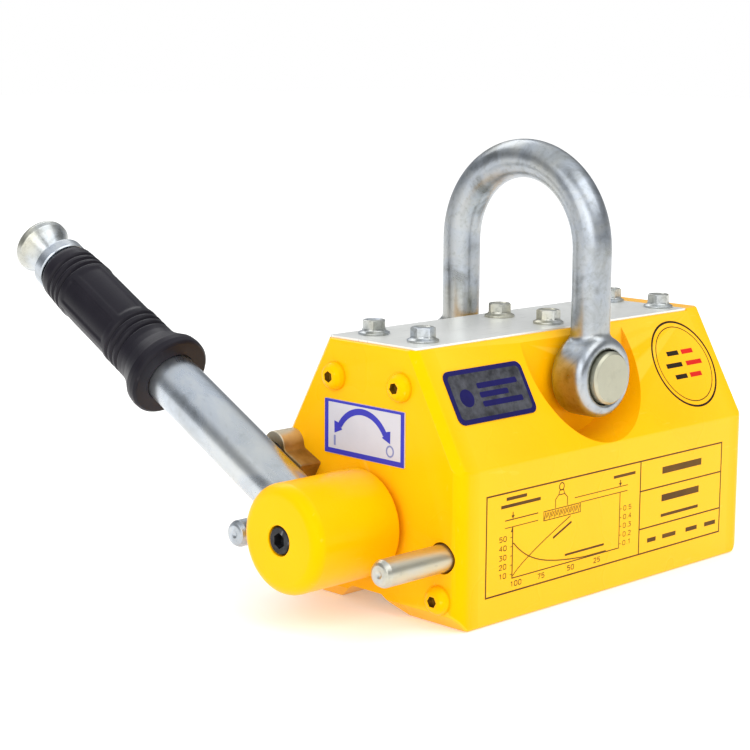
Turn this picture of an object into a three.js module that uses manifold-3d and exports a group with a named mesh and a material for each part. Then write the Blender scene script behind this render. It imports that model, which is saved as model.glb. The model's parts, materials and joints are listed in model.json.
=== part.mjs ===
// Permanent lifting magnet with a turning lever, millimetres, +Z up.
// Origin: centre of the bottom working face. X runs along the body (lever end
// at -X), the long side with the load chart faces -Y.
import * as THREE from 'three';
import { mergeVertices } from 'three/addons/utils/BufferGeometryUtils.js';
import Module from 'manifold-3d';

// ---------------------------------------------------------------- dimensions
// body section
const HALF_L = 84.6;         // half of the body length
const COVER_T = 10;          // end cover thickness
const HALF_W = 46;           // half width below the shoulder
const SHOULDER_Z = 57.2;     // where the sides start to slope in
const SLOPE = 0.5639;        // side slope above the shoulder, mm in Y per mm in Z
const BODY_TOP = 97.9;       // top of the pole blocks and the front cover
const PLATE_TOP = 98.7;      // top of the plate
const PLATE_HALF_W = 22.4;
const PLATE_X0 = -82.8;      // lever-end edge of the plate
const SPLIT = 6;             // half gap between the two pole blocks
const GROOVE_HALF_B = 18;    // bottom groove, half width at the working face
const GROOVE_HALF_T = 7.5;   // and at its roof
const GROOVE_H = 6.5;
const EDGE = 3;              // chamfer round the end faces
const FOOT_CHAMFER = 5.5;    // chamfer under the end faces
const POLE_X = HALF_L - COVER_T;

// rotor and shaft
const AXIS_Z = 33;           // rotor, hub and lever axis height
const BORE_R = 23.6;
const ROTOR_R = 23;
const CORE_X = 67.7;         // half length of the rotor poles
const DISC_T = 4;
const SHAFT_R = 9;
const BUSH_R = 11.7;
const BUSH_FLANGE_R = 14.5;
const COVER_BORE_R = 12;
const MAGNET_HALF_T = 7;     // rotor magnet half thickness
const MAGNET_HALF_H = 16;
const GAP = 0.3;             // working gap between pieces of a turned group

// hub and lever
const LEVER_DEG = 27.9;      // lever angle above +Y at rest
const LEVER_X = -107.2;
const HUB_R = 20;
const HUB_X0 = -87.6;        // back face of the hub
const HUB_X1 = -127.7;       // front face of the hub
const HUB_FILLET = 4.5;
const TUBE_R = 10.25;
const TUBE_RI = 8;
const TUBE_S0 = 11.2;        // distances along the lever from the hub axis
const TUBE_S1 = 172;
const GRIP_S0 = 95.5;
const GRIP_S1 = 171.6;
const PLUG_R = 11.3;
const PLUG_S1 = 177.8;
const NECK_R = 6;            // flares into the knob; the plug's conical mouth takes the flare when pressed
const KNOB_R = 11.5;

// shackle
const PIN_Z = 81.2;
const PIN_R = 10;
const PIN_HALF = 44.6;
const EYE_R = 15.5;
const EYE_Y0 = 26;
const EYE_Y1 = 42;
const LEG_R = 7.375;
const LEG_Y = 33.2;
const ARC_Z = 128;
const RECESS_R = 30.8;       // round side recess that clears the eyes
const RECESS_Z = 88;
const RECESS_Y = 24.4;       // its flat floor

// fasteners and stops
const BOLT_X = [-69.2, 0, 69.2];
const BOLT_Y = 12.5;
const SCREW_UP = [16.8, 84.3];
const SCREW_LOW = [36.5, 10.8];
const LIMIT_Y = 37.6;
const LIMIT_Z = 26.2;
const LIMIT_TIP = -115.8;
const BLOCK_X = -94.6;       // front face of the safety catch block
const CATCH_SCREW = [39.6, 53.2];

// ------------------------------------------------------------------ materials
const mat = (color, roughness, metalness) =>
  new THREE.MeshStandardMaterial({ color, roughness, metalness });
const YELLOW = mat(0xffcf00, 0.35, 0.0);
const ZINC = mat(0xc9cdd2, 0.35, 0.9);
const SATIN = mat(0xc8cacb, 0.45, 0.85);
const STEEL = mat(0x8b8e92, 0.4, 0.9);
const BROWN = mat(0x8f7142, 0.5, 0.7);
const BLACK_OX = mat(0x26272a, 0.45, 0.6);
const RUBBER = mat(0x1f1f24, 0.75, 0.0);
const MAGNET = mat(0x5c6066, 0.35, 0.8);
const BRONZE = mat(0xb08a4a, 0.35, 0.9);
const STAINLESS = mat(0xb5b8bb, 0.3, 0.9);
const LABEL_W = mat(0xe6e8ee, 0.4, 0.0);
const LABEL_D = mat(0x33363f, 0.5, 0.0);

// -------------------------------------------------------------------- helpers
const wasm = await Module();
wasm.setup();

// a closed, merged triangle mesh whose faces point out
function tidy(geometry) {
  const g = geometry.clone();
  g.deleteAttribute('normal');
  g.deleteAttribute('uv');
  const m = mergeVertices(g, 1e-4);
  const p = m.attributes.position.array;
  const idx = m.index.array;
  const keep = [];
  let volume = 0;
  for (let i = 0; i < idx.length; i += 3) {
    const [a, b, c] = [idx[i], idx[i + 1], idx[i + 2]];
    if (a === b || b === c || a === c) continue;
    keep.push(a, b, c);
    const [ax, ay, az] = [p[3 * a], p[3 * a + 1], p[3 * a + 2]];
    const [bx, by, bz] = [p[3 * b], p[3 * b + 1], p[3 * b + 2]];
    const [cx, cy, cz] = [p[3 * c], p[3 * c + 1], p[3 * c + 2]];
    volume += ax * (by * cz - bz * cy) + ay * (bz * cx - bx * cz) + az * (bx * cy - by * cx);
  }
  if (volume < 0) for (let i = 0; i < keep.length; i += 3) [keep[i], keep[i + 1]] = [keep[i + 1], keep[i]];
  return { p, keep };
}
function solid(geometry) {
  const { p, keep } = tidy(geometry);
  return new wasm.Manifold(new wasm.Mesh({
    numProp: 3,
    vertProperties: Float32Array.from(p),
    triVerts: Uint32Array.from(keep),
  }));
}
function geometryOf(m) {
  const mesh = m.getMesh();
  const g = new THREE.BufferGeometry();
  g.setAttribute('position', new THREE.BufferAttribute(Float32Array.from(mesh.vertProperties), 3));
  g.setIndex(new THREE.BufferAttribute(Uint32Array.from(mesh.triVerts), 1));
  g.computeVertexNormals();
  return g;
}
const cut = (base, ...tools) => tools.reduce((a, b) => a.subtract(b), base);
const join = (base, ...more) => more.reduce((a, b) => a.add(b), base);

// boxes and round bars, given by their limits
function box(x0, x1, y0, y1, z0, z1) {
  const g = new THREE.BoxGeometry(x1 - x0, y1 - y0, z1 - z0);
  g.translate((x0 + x1) / 2, (y0 + y1) / 2, (z0 + z1) / 2);
  return solid(g);
}
function barX(r, x0, x1, y = 0, z = 0, seg = 32) {
  const g = new THREE.CylinderGeometry(r, r, x1 - x0, seg);
  g.rotateZ(-Math.PI / 2);
  g.translate((x0 + x1) / 2, y, z);
  return solid(g);
}
function barY(r, y0, y1, x = 0, z = 0, seg = 32) {
  const g = new THREE.CylinderGeometry(r, r, y1 - y0, seg);
  g.translate(x, (y0 + y1) / 2, z);
  return solid(g);
}
function barZ(r, z0, z1, x = 0, y = 0, seg = 24) {
  const g = new THREE.CylinderGeometry(r, r, z1 - z0, seg);
  g.rotateX(Math.PI / 2);
  g.translate(x, y, (z0 + z1) / 2);
  return solid(g);
}
// turned shapes: profile points are [radius, distance along the axis]
function lathe(profile, seg) {
  return new THREE.LatheGeometry(profile.map(([r, s]) => new THREE.Vector2(r, s)), seg);
}
function turnedX(profile, seg = 32, y = 0, z = 0) {
  const g = lathe(profile, seg);
  g.rotateZ(-Math.PI / 2);
  g.translate(0, y, z);
  return solid(g);
}
function turnedY(profile, seg = 32, x = 0, z = 0) {
  const g = lathe(profile, seg);
  g.translate(x, 0, z);
  return solid(g);
}
function turnedZ(profile, seg = 24, x = 0, y = 0) {
  const g = lathe(profile, seg);
  g.rotateX(Math.PI / 2);
  g.translate(x, y, 0);
  return solid(g);
}
// a hexagonal bar along an axis, "flats" across
function hexX(flats, x0, x1, y, z) {
  return barX(flats / Math.sqrt(3), x0, x1, y, z, 6);
}
// a section drawn in Y-Z and extruded along X
function sectionX(points, x0, x1) {
  const shape = new THREE.Shape(points.map(([y, z]) => new THREE.Vector2(y, z)));
  const g = new THREE.ExtrudeGeometry(shape, { depth: x1 - x0, bevelEnabled: false });
  // shape X,Y,depth -> world Y,Z,X
  g.applyMatrix4(new THREE.Matrix4().set(0, 0, 1, x0, 1, 0, 0, 0, 0, 1, 0, 0, 0, 0, 0, 1));
  return solid(g);
}
const arc = (cx, cy, r, a0, a1, n) =>
  Array.from({ length: n + 1 }, (_, i) => {
    const a = THREE.MathUtils.degToRad(a0 + ((a1 - a0) * i) / n);
    return [cx + r * Math.cos(a), cy + r * Math.sin(a)];
  });

const group = new THREE.Group();
const turning = new THREE.Group();         // everything that turns with the lever
turning.position.set(0, 0, AXIS_Z);
turning.rotation.x = THREE.MathUtils.degToRad(LEVER_DEG);
group.add(turning);

function add(parent, name, shape, material) {
  const mesh = new THREE.Mesh(shape.getMesh ? geometryOf(shape) : shape, material);
  mesh.name = name;
  parent.add(mesh);
}

// --------------------------------------------------------------- body envelope
const halfW = (z) => (z <= SHOULDER_Z ? HALF_W : HALF_W - SLOPE * (z - SHOULDER_Z));
// outline of the whole body with its chamfered end faces, taller than the body
function envelope() {
  const zTop = 108;
  const inset = EDGE * Math.sqrt(1 + SLOPE * SLOPE);   // in Y, on the sloping sides
  const zKnee = SHOULDER_Z - (inset - EDGE) / SLOPE;
  const pts = [
    [-HALF_W + EDGE, -6], [HALF_W - EDGE, -6], [HALF_W - EDGE, zKnee],
    [halfW(zTop) - inset, zTop], [-halfW(zTop) + inset, zTop], [-HALF_W + EDGE, zKnee],
  ];
  const shape = new THREE.Shape(pts.map(([y, z]) => new THREE.Vector2(y, z)));
  const g = new THREE.ExtrudeGeometry(shape, {
    depth: 2 * HALF_L - 2 * EDGE, bevelEnabled: true, bevelThickness: EDGE, bevelSize: EDGE, bevelSegments: 1,
  });
  g.applyMatrix4(new THREE.Matrix4().set(0, 0, 1, -HALF_L + EDGE, 1, 0, 0, 0, 0, 1, 0, 0, 0, 0, 0, 1));
  return solid(g);
}
// a chamfer under an end face and a small one over it
function edgeCuts(sign) {
  const under = sectionXZ([[0, -1], [-FOOT_CHAMFER * 0.9 - 0.9, -1], [0, FOOT_CHAMFER]], sign);
  return under;
}
// a triangle in X-Z at an end face, extruded across the body
function sectionXZ(points, sign) {
  const shape = new THREE.Shape(points.map(([x, z]) => new THREE.Vector2(x, z)));
  const g = new THREE.ExtrudeGeometry(shape, { depth: 120, bevelEnabled: false });
  // shape X -> world X outwards from the end face, shape Y -> world Z, depth -> world Y
  g.applyMatrix4(new THREE.Matrix4().set(sign, 0, 0, sign * (HALF_L + 0.01), 0, 0, 1, -60, 0, 1, 0, 0, 0, 0, 0, 1));
  return solid(g);
}
const groove = () => sectionX([
  [-GROOVE_HALF_B, 0], [-GROOVE_HALF_B - 3, -2], [GROOVE_HALF_B + 3, -2], [GROOVE_HALF_B, 0],
  [GROOVE_HALF_T, GROOVE_H], [-GROOVE_HALF_T, GROOVE_H],
], -HALF_L - 2, HALF_L + 2);

// ------------------------------------------------------------------ end covers
function coverScrewHoles(sign) {
  const [x0, x1] = sign < 0 ? [-HALF_L - 1, -58] : [58, HALF_L + 1];
  const holes = [];
  for (const s of [-1, 1]) for (const [y, z] of [SCREW_UP, SCREW_LOW]) holes.push(barX(2.8, x0, x1, s * y, z, 12));
  return holes;
}
{
  const full = envelope();
  const slabFront = box(-HALF_L - 1, -POLE_X, -60, 60, 0, BODY_TOP);
  const front = cut(full.intersect(slabFront), edgeCuts(-1), groove(),
    barX(COVER_BORE_R, -HALF_L - 1, -POLE_X + 1, 0, AXIS_Z, 32),
    ...coverScrewHoles(-1),
    barX(5.75, -HALF_L - 1, -POLE_X + 1, LIMIT_Y, LIMIT_Z, 20),
    barX(5.75, -HALF_L - 1, -POLE_X + 1, -LIMIT_Y, LIMIT_Z, 20),
    barX(2.5, -HALF_L - 1, -POLE_X + 1, CATCH_SCREW[0], CATCH_SCREW[1], 12));
  add(group, 'end_cover_front', front, YELLOW);

  const slabRear = box(POLE_X, HALF_L + 1, -60, 60, 0, PLATE_TOP);
  const rear = cut(full.intersect(slabRear), edgeCuts(1), groove(),
    barX(COVER_BORE_R, POLE_X - 1, HALF_L - 2.5, 0, AXIS_Z, 32),
    ...coverScrewHoles(1));
  add(group, 'end_cover_rear', rear, YELLOW);
}

// ----------------------------------------------------------------- pole blocks
for (const [name, s] of [['pole_block_near', -1], ['pole_block_far', 1]]) {
  const section = [
    [s * HALF_W, 0], [s * GROOVE_HALF_B, 0], [s * GROOVE_HALF_T, GROOVE_H], [s * SPLIT, GROOVE_H],
    [s * SPLIT, BODY_TOP], [s * halfW(BODY_TOP), BODY_TOP], [s * HALF_W, SHOULDER_Z],
  ];
  if (s > 0) section.reverse();
  const pole = cut(sectionX(section, -POLE_X, POLE_X),
    barX(BORE_R, -POLE_X - 1, POLE_X + 1, 0, AXIS_Z, 40),
    s < 0 ? barY(RECESS_R, -60, -RECESS_Y, 0, RECESS_Z, 48) : barY(RECESS_R, RECESS_Y, 60, 0, RECESS_Z, 48),
    barY(PIN_R + 0.3, -50, 50, 0, PIN_Z, 28),
    ...BOLT_X.map((x) => barZ(2.8, x === 0 ? 91 : 87.9, BODY_TOP + 1, x, s * BOLT_Y, 12)),
    barX(2.8, -HALF_L, -58, s * SCREW_UP[0], SCREW_UP[1], 12), barX(2.8, 58, HALF_L, s * SCREW_UP[0], SCREW_UP[1], 12),
    barX(2.8, -HALF_L, -58, s * SCREW_LOW[0], SCREW_LOW[1], 12), barX(2.8, 58, HALF_L, s * SCREW_LOW[0], SCREW_LOW[1], 12),
    barX(5.3, -HALF_L, -58, s * LIMIT_Y, LIMIT_Z, 16),
    ...(s > 0 ? [barX(2.5, -HALF_L, -64, CATCH_SCREW[0], CATCH_SCREW[1], 12)] : []));
  add(group, name, pole, YELLOW);
}

// ---------------------------------------------------- fixed magnets and spacers
const SP = SPLIT - 0.2;
add(group, 'fixed_magnet_front', box(-73.9, -12.8, -SP, SP, 59, 94), MAGNET);
add(group, 'fixed_magnet_rear', box(12.8, 73.9, -SP, SP, 59, 94), MAGNET);
add(group, 'centre_spacer', cut(box(-12.4, 12.4, -SP, SP, 59, 94), barY(PIN_R + 0.4, -20, 20, 0, PIN_Z, 32)), STAINLESS);
add(group, 'top_spacer', box(-74.2, 74.2, -SP, SP, 94.3, 97.7), STAINLESS);
add(group, 'bottom_spacer', box(-74.2, 74.2, -SP, SP, GROOVE_H, 9), STAINLESS);

// ------------------------------------------------------- top plate and its bolts
add(group, 'top_plate', cut(box(PLATE_X0, POLE_X, -PLATE_HALF_W, PLATE_HALF_W, BODY_TOP, PLATE_TOP),
  ...BOLT_X.flatMap((x) => [-1, 1].map((s) => barZ(2.8, 97, 100, x, s * BOLT_Y, 12)))), SATIN);
for (const [tag, x] of [['front', BOLT_X[0]], ['middle', BOLT_X[1]], ['rear', BOLT_X[2]]]) {
  for (const [side, s] of [['near', -1], ['far', 1]]) {
    const tip = x === 0 ? 92 : 88.3;
    const flange = turnedZ([[0, tip], [2.5, tip], [2.5, PLATE_TOP], [5.9, PLATE_TOP], [5.9, PLATE_TOP + 0.7], [4.3, PLATE_TOP + 1.5], [0, PLATE_TOP + 1.5]], 16, x, s * BOLT_Y);
    const hex = barZ(8 / Math.sqrt(3), PLATE_TOP + 1, PLATE_TOP + 5.4, x, s * BOLT_Y, 6);
    const crown = turnedZ([[0, PLATE_TOP], [6, PLATE_TOP], [6, PLATE_TOP + 4.2], [3.9, PLATE_TOP + 5.4], [0, PLATE_TOP + 5.4]], 12, x, s * BOLT_Y);
    add(group, `top_plate_bolt_${tag}_${side}`, join(flange, hex.intersect(crown)), ZINC);
  }
}

// -------------------------------------------------------------- end cover screws
// button head standing 4 mm proud with a hexagon socket
for (const [end, sx] of [['front', -1], ['rear', 1]]) {
  let n = 0;
  for (const [level, [y, z]] of [['upper', SCREW_UP], ['lower', SCREW_LOW]]) {
    for (const [side, s] of [['near', -1], ['far', 1]]) {
      n += 1;
      const f = HALF_L;
      const prof = [[0, 60], [2.5, 60], [2.5, f], [5.25, f], [5.25, f + 1.6], [4.3, f + 3.2], [2.6, f + 3.9], [0, f + 3.9]];
      const body = turnedX(sx < 0 ? prof.map(([r, t]) => [r, -t]) : prof, 16, s * y, z);
      const socket = sx < 0 ? hexX(3.7, -f - 5, -f - 1.6, s * y, z) : hexX(3.7, f + 1.6, f + 5, s * y, z);
      add(group, `${end}_cover_screw_${level}_${side}`, cut(body, socket), YELLOW);
    }
  }
}

// -------------------------------------------------------- limit pins, catch block
for (const [name, s] of [['limit_pin_on', 1], ['limit_pin_off', -1]]) {
  const pin = turnedX([[0, -60], [5, -60], [5, LIMIT_TIP + 1.4], [3.6, LIMIT_TIP], [1.2, LIMIT_TIP], [0, LIMIT_TIP + 0.9]], 20, s * LIMIT_Y, LIMIT_Z);
  add(group, name, pin, ZINC);
}
{
  const [cy, cz, cr] = [39.5, 56, 5.7];
  const outline = [
    [24.4, 50.8], [28.4, 43.9], [43.2, 44.4], [45, 50],
    ...arc(cy, cz, cr, -14, 182, 10),
    [33, 55.2],
  ];
  const block = cut(sectionX(outline, BLOCK_X, -HALF_L),
    turnedX([[0, -120], [8, -120], [4.6, BLOCK_X], [2.4, BLOCK_X + 3], [2.4, -60], [0, -60]], 16, ...CATCH_SCREW));
  add(group, 'safety_catch_block', block, BROWN);
  const screw = turnedX([[0, BLOCK_X + 0.3], [4.1, BLOCK_X + 0.3], [2.1, BLOCK_X + 2.9], [2.1, -66], [0, -66]], 16, ...CATCH_SCREW);
  add(group, 'catch_block_screw', cut(screw, hexX(2.5, BLOCK_X - 1, BLOCK_X + 1.9, ...CATCH_SCREW)), BLACK_OX);
}

// --------------------------------------------------------------- bearing bushes
{
  const ring = (x0, x1, xf) => [[SHAFT_R + 0.1, x0], [BUSH_R, x0], [BUSH_R, x1], [BUSH_FLANGE_R, x1], [BUSH_FLANGE_R, xf], [SHAFT_R + 0.1, xf], [SHAFT_R + 0.1, x0]];
  add(group, 'bearing_bush_front', turnedX(ring(-HALF_L + 0.3, -POLE_X + 0.2, -POLE_X + 1.6), 32, 0, AXIS_Z), BRONZE);
  add(group, 'bearing_bush_rear', turnedX(ring(HALF_L - 3, POLE_X - 0.2, POLE_X - 1.6), 32, 0, AXIS_Z), BRONZE);
}

// ------------------------------------------------------------------ shackle pin
add(group, 'shackle_pin', turnedY([[0, -PIN_HALF], [PIN_R - 0.9, -PIN_HALF], [PIN_R, -PIN_HALF + 0.9], [PIN_R, PIN_HALF - 0.9], [PIN_R - 0.9, PIN_HALF], [0, PIN_HALF]], 32, 0, PIN_Z), STEEL);

// ----------------------------------------------------------------- label plates
add(group, 'lever_label', box(-HALF_L - 0.5, -HALF_L - 0.05, -19.2, 22, 55.4, 75.7), LABEL_W);
{
  // on the near slanted face, 41 x 20 mm
  const g = new THREE.BoxGeometry(41, 0.4, 20);
  const slant = Math.atan(SLOPE);
  const mesh = new THREE.Mesh(g, LABEL_D);
  const z = 80.9;
  mesh.position.set(-54.5, -halfW(z) - 0.3 * Math.cos(slant), z + 0.3 * Math.sin(slant));
  mesh.rotation.x = -slant;
  mesh.name = 'grade_label';
  group.add(mesh);
}

// ------------------------------------------------------------------ shackle bow
{
  class Bow extends THREE.Curve {
    // up the near leg, round the arc and down the far leg
    getPoint(t, target = new THREE.Vector3()) {
      const leg = ARC_Z - PIN_Z - 6;
      const turn = Math.PI * LEG_Y;
      const d = t * (2 * leg + turn);
      if (d < leg) return target.set(0, -LEG_Y, PIN_Z + 6 + d);
      if (d > leg + turn) return target.set(0, LEG_Y, ARC_Z - (d - leg - turn));
      const a = Math.PI - (d - leg) / LEG_Y;
      return target.set(0, LEG_Y * Math.cos(a), ARC_Z + LEG_Y * Math.sin(a));
    }
  }
  const round = new THREE.Shape(arc(0, 0, LEG_R, 0, 360 - 360 / 14, 13).map(([x, y]) => new THREE.Vector2(x, y)));
  const rod = solid(new THREE.ExtrudeGeometry(round, { steps: 26, bevelEnabled: false, extrudePath: new Bow() }));
  const eye = (s) => turnedY([[0, s * EYE_Y0], [EYE_R - 1.2, s * EYE_Y0], [EYE_R, s * (EYE_Y0 + 1.2)], [EYE_R, s * (EYE_Y1 - 1.2)], [EYE_R - 1.2, s * EYE_Y1], [0, s * EYE_Y1]], 28, 0, PIN_Z);
  const neck = (s) => {
    const g = new THREE.CylinderGeometry(LEG_R, LEG_R + 4.2, 9, 14);
    g.rotateX(Math.PI / 2);
    g.scale(1, 0.9, 1);
    g.translate(0, s * LEG_Y, PIN_Z + 17.5);
    return solid(g).intersect(box(-20, 20, s > 0 ? EYE_Y0 - 0.1 : -EYE_Y1 - 0.1, s > 0 ? EYE_Y1 + 0.1 : -EYE_Y0 + 0.1, 80, 120));
  };
  const bow = cut(join(rod, eye(-1), eye(1), neck(-1), neck(1)), barY(PIN_R + 0.5, -60, 60, 0, PIN_Z, 32));
  add(group, 'shackle_bow', bow, ZINC);
}

// ================================================================ turning group
// local frame: X along the rotor axis, +Y along the lever, origin on the axis
// rotor: two steel poles either side of a magnet slab, brass strips at its edges
{
  const whole = barX(ROTOR_R, -CORE_X, CORE_X, 0, 0, 40);
  const b = MAGNET_HALF_T + GAP;
  const tap = (y) => [barX(2.5, -CORE_X - 1, -CORE_X + 13, y, 0, 12), barX(2.5, CORE_X - 13, CORE_X + 1, y, 0, 12)];
  add(turning, 'rotor_pole_a', cut(whole.intersect(box(-80, 80, b, 40, -40, 40)), ...tap(15)), STEEL);
  add(turning, 'rotor_pole_b', cut(whole.intersect(box(-80, 80, -40, -b, -40, 40)), ...tap(-15)), STEEL);
  add(turning, 'rotor_magnet', box(-CORE_X, CORE_X, -MAGNET_HALF_T, MAGNET_HALF_T, -MAGNET_HALF_H, MAGNET_HALF_H), MAGNET);
  add(turning, 'rotor_strip_upper', box(-CORE_X, CORE_X, -MAGNET_HALF_T, MAGNET_HALF_T, MAGNET_HALF_H + GAP, 21.6), BRONZE);
  add(turning, 'rotor_strip_lower', box(-CORE_X, CORE_X, -MAGNET_HALF_T, MAGNET_HALF_T, -21.6, -MAGNET_HALF_H - GAP), BRONZE);
}
// trunnions: a disc on each rotor end with the shaft on it
{
  const d0 = CORE_X + GAP;
  const d1 = d0 + DISC_T;
  const shaftEnd = HUB_X1 + 11.6;
  const holes = (sx) => [15, -15].flatMap((y) => (sx < 0
    ? [barX(2.5, -d1 - 1, -d0 + 1, y, 0, 12), barX(4.3, -d1 - 1, -d1 + 2.3, y, 0, 12)]
    : [barX(2.5, d0 - 1, d1 + 1, y, 0, 12), barX(4.3, d1 - 2.3, d1 + 1, y, 0, 12)]));
  const front = cut(
    join(barX(ROTOR_R - 0.5, -d1, -d0, 0, 0, 32), barX(SHAFT_R, shaftEnd, -d0 - 1, 0, 0, 32)),
    ...holes(-1),
    box(-113, -92, -12, -6.3, -2.7, 2.7),
    barX(3.3, shaftEnd - 1, -99, 0, 0, 16));
  add(turning, 'front_trunnion', front, STEEL);
  const rear = cut(join(barX(ROTOR_R - 0.5, d0, d1, 0, 0, 32), barX(SHAFT_R, d0 + 1, HALF_L - 4, 0, 0, 32)), ...holes(1));
  add(turning, 'rear_trunnion', rear, STEEL);
  for (const [end, sx] of [['front', -1], ['rear', 1]]) {
    for (const [tag, y] of [['a', 15], ['b', -15]]) {
      const prof = [[0, d0 - 11], [2.1, d0 - 11], [2.1, d1 - 1.9], [3.8, d1 - 1.9], [3.8, d1 - 0.1], [0, d1 - 0.1]];
      const screw = turnedX(sx < 0 ? prof.map(([r, t]) => [r, -t]) : prof, 12, y, 0);
      add(turning, `rotor_screw_${end}_${tag}`, screw, BLACK_OX);
    }
  }
}
// hub with its socket screw and key
{
  const f = HUB_FILLET;
  const prof = [
    [SHAFT_R + GAP, HUB_X0], [HUB_R - 0.8, HUB_X0], [HUB_R, HUB_X0 - 0.8],
    [HUB_R, HUB_X1 + f],
    ...arc(HUB_R - f, HUB_X1 + f, f, -18, -90, 4),
    [5.5, HUB_X1], [5.5, HUB_X1 + 6.4], [3.4, HUB_X1 + 6.4], [3.4, HUB_X1 + 11.3], [SHAFT_R + GAP, HUB_X1 + 11.3],
    [SHAFT_R + GAP, HUB_X0],
  ];
  const hub = cut(turnedX(prof, 40), barY(TUBE_R + GAP, TUBE_S0 - GAP, 30, LEVER_X, 0, 32),
    box(HUB_X1 + 11.3, HUB_X0 + 1, -12, -7, -2.7, 2.7));
  add(turning, 'hub', hub, YELLOW);
  const h = HUB_X1 + 0.2;
  const screw = turnedX([[0, -102], [3, -102], [3, h + 5.9], [5, h + 5.9], [5, h + 0.5], [4.5, h], [0, h]].reverse(), 20);
  add(turning, 'hub_screw', cut(screw, hexX(5, h - 1, h + 3.2, 0, 0)), BLACK_OX);
  add(turning, 'hub_key', box(-112.6, -92.4, -11.6, -6.7, -2.4, 2.4), STEEL);
}
// lever tube with the slot the slide key stands through
{
  const tube = cut(barY(TUBE_R, TUBE_S0, TUBE_S1, LEVER_X, 0, 32), barY(TUBE_RI, TUBE_S0 - 1, TUBE_S1 + 1, LEVER_X, 0, 28),
    box(LEVER_X + 4, LEVER_X + 12, 35.2, 52.8, -3.2, 3.2));
  add(turning, 'lever_tube', tube, ZINC);
  // hand grip: flange towards the hub, waist grooves, rounded end
  const ri = TUBE_R + GAP;
  const prof = [
    [ri, GRIP_S0], [15.8, GRIP_S0], [16.8, GRIP_S0 + 1], [17, GRIP_S0 + 3], [16.7, GRIP_S0 + 5.5], [15.2, GRIP_S0 + 8],
    [13.6, GRIP_S0 + 11.5], [12.9, GRIP_S0 + 15],
    [12.85, GRIP_S1 - 22], [12.5, GRIP_S1 - 12], [11.9, GRIP_S1 - 3], [11.3, GRIP_S1 - 0.6], [ri, GRIP_S1], [ri, GRIP_S0],
  ];
  add(turning, 'hand_grip', turnedY(prof, 28, LEVER_X, 0), RUBBER);
  const plug = turnedY([
    [NECK_R + GAP, 160], [TUBE_RI - GAP, 160], [TUBE_RI - GAP, TUBE_S1 + GAP], [PLUG_R, TUBE_S1 + GAP], [PLUG_R, PLUG_S1 - 1],
    [PLUG_R - 1, PLUG_S1], [8.6, PLUG_S1], [NECK_R + GAP, 173.6], [NECK_R + GAP, 160],
  ], 28, LEVER_X, 0);
  add(turning, 'lever_end_plug', plug, ZINC);
  add(turning, 'rod_guide_bush', turnedY([[2.8, 100], [TUBE_RI - GAP, 100], [TUBE_RI - GAP, 108], [2.8, 108], [2.8, 100]], 20, LEVER_X, 0), BRONZE);
}
// push button: knob, neck and inner collar in one piece; rod and slide key
{
  const button = turnedY([
    [0, 156.3], [TUBE_RI - 0.5, 156.3], [TUBE_RI - 0.5, 159.7], [NECK_R, 159.7], [NECK_R, 178.6], [6.6, 180.6], [8.2, 183.4],
    [10.2, 186.4], [KNOB_R, 188.4], [KNOB_R, 190.4], [10.4, 192.4], [8, 193.2], [0, 193.2],
  ], 24, LEVER_X, 0);
  add(turning, 'push_button', button, ZINC);
  add(turning, 'push_rod', barY(2.5, 52.3, 156, LEVER_X, 0, 12), STEEL);
  add(turning, 'slide_key', join(box(LEVER_X - 4, LEVER_X + 11.8, 44, 52, -2.8, 2.8)), STEEL);
}
// return spring round the rod, between the guide bush and the button collar
{
  const [s0, s1, turns, rm, rw] = [109.4, 154.9, 6, 5.2, 0.9];
  class Coil extends THREE.Curve {
    getPoint(t, target = new THREE.Vector3()) {
      const a = 2 * Math.PI * turns * t;
      return target.set(LEVER_X + rm * Math.cos(a), s0 + (s1 - s0) * t, rm * Math.sin(a));
    }
  }
  const wire = new THREE.Shape(arc(0, 0, rw, 0, 360 - 360 / 5, 4).map(([x, y]) => new THREE.Vector2(x, y)));
  const g = new THREE.ExtrudeGeometry(wire, { steps: turns * 9, bevelEnabled: false, extrudePath: new Coil() });
  add(turning, 'return_spring', solid(g), STEEL);
}

export default group;
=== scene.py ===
import json
import math

import bmesh
import bpy
import numpy as np
from mathutils import Matrix, Vector


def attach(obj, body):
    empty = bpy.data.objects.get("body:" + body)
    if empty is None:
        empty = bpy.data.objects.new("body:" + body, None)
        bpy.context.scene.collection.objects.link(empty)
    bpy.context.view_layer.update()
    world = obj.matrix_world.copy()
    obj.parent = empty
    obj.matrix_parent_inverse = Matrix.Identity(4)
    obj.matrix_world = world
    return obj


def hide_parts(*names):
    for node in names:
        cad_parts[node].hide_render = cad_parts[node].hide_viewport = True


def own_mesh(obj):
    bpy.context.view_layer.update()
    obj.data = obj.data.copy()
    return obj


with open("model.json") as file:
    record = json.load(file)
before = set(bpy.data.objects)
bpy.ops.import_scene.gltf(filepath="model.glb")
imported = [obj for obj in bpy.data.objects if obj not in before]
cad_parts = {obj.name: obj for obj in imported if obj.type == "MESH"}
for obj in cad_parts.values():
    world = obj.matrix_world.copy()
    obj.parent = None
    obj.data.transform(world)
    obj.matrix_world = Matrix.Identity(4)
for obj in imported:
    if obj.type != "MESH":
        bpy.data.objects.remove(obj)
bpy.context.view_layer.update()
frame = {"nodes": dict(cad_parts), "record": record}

# --------------------------------------------------------------------------
# dimensions in millimetres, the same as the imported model's
HALF_L, COVER_T, HALF_W = 84.6, 10.0, 46.0
POLE_X = HALF_L - COVER_T
SHOULDER_Z, SLOPE = 57.2, 0.5639
BODY_TOP, PLATE_TOP = 97.9, 98.7
AXIS_Z, LEVER_X, LEVER_DEG = 33.0, -107.2, 27.9
HUB_R, HUB_X0, HUB_X1 = 20.0, -87.6, -127.7
TUBE_R, TUBE_RI = 10.25, 8.0
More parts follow.
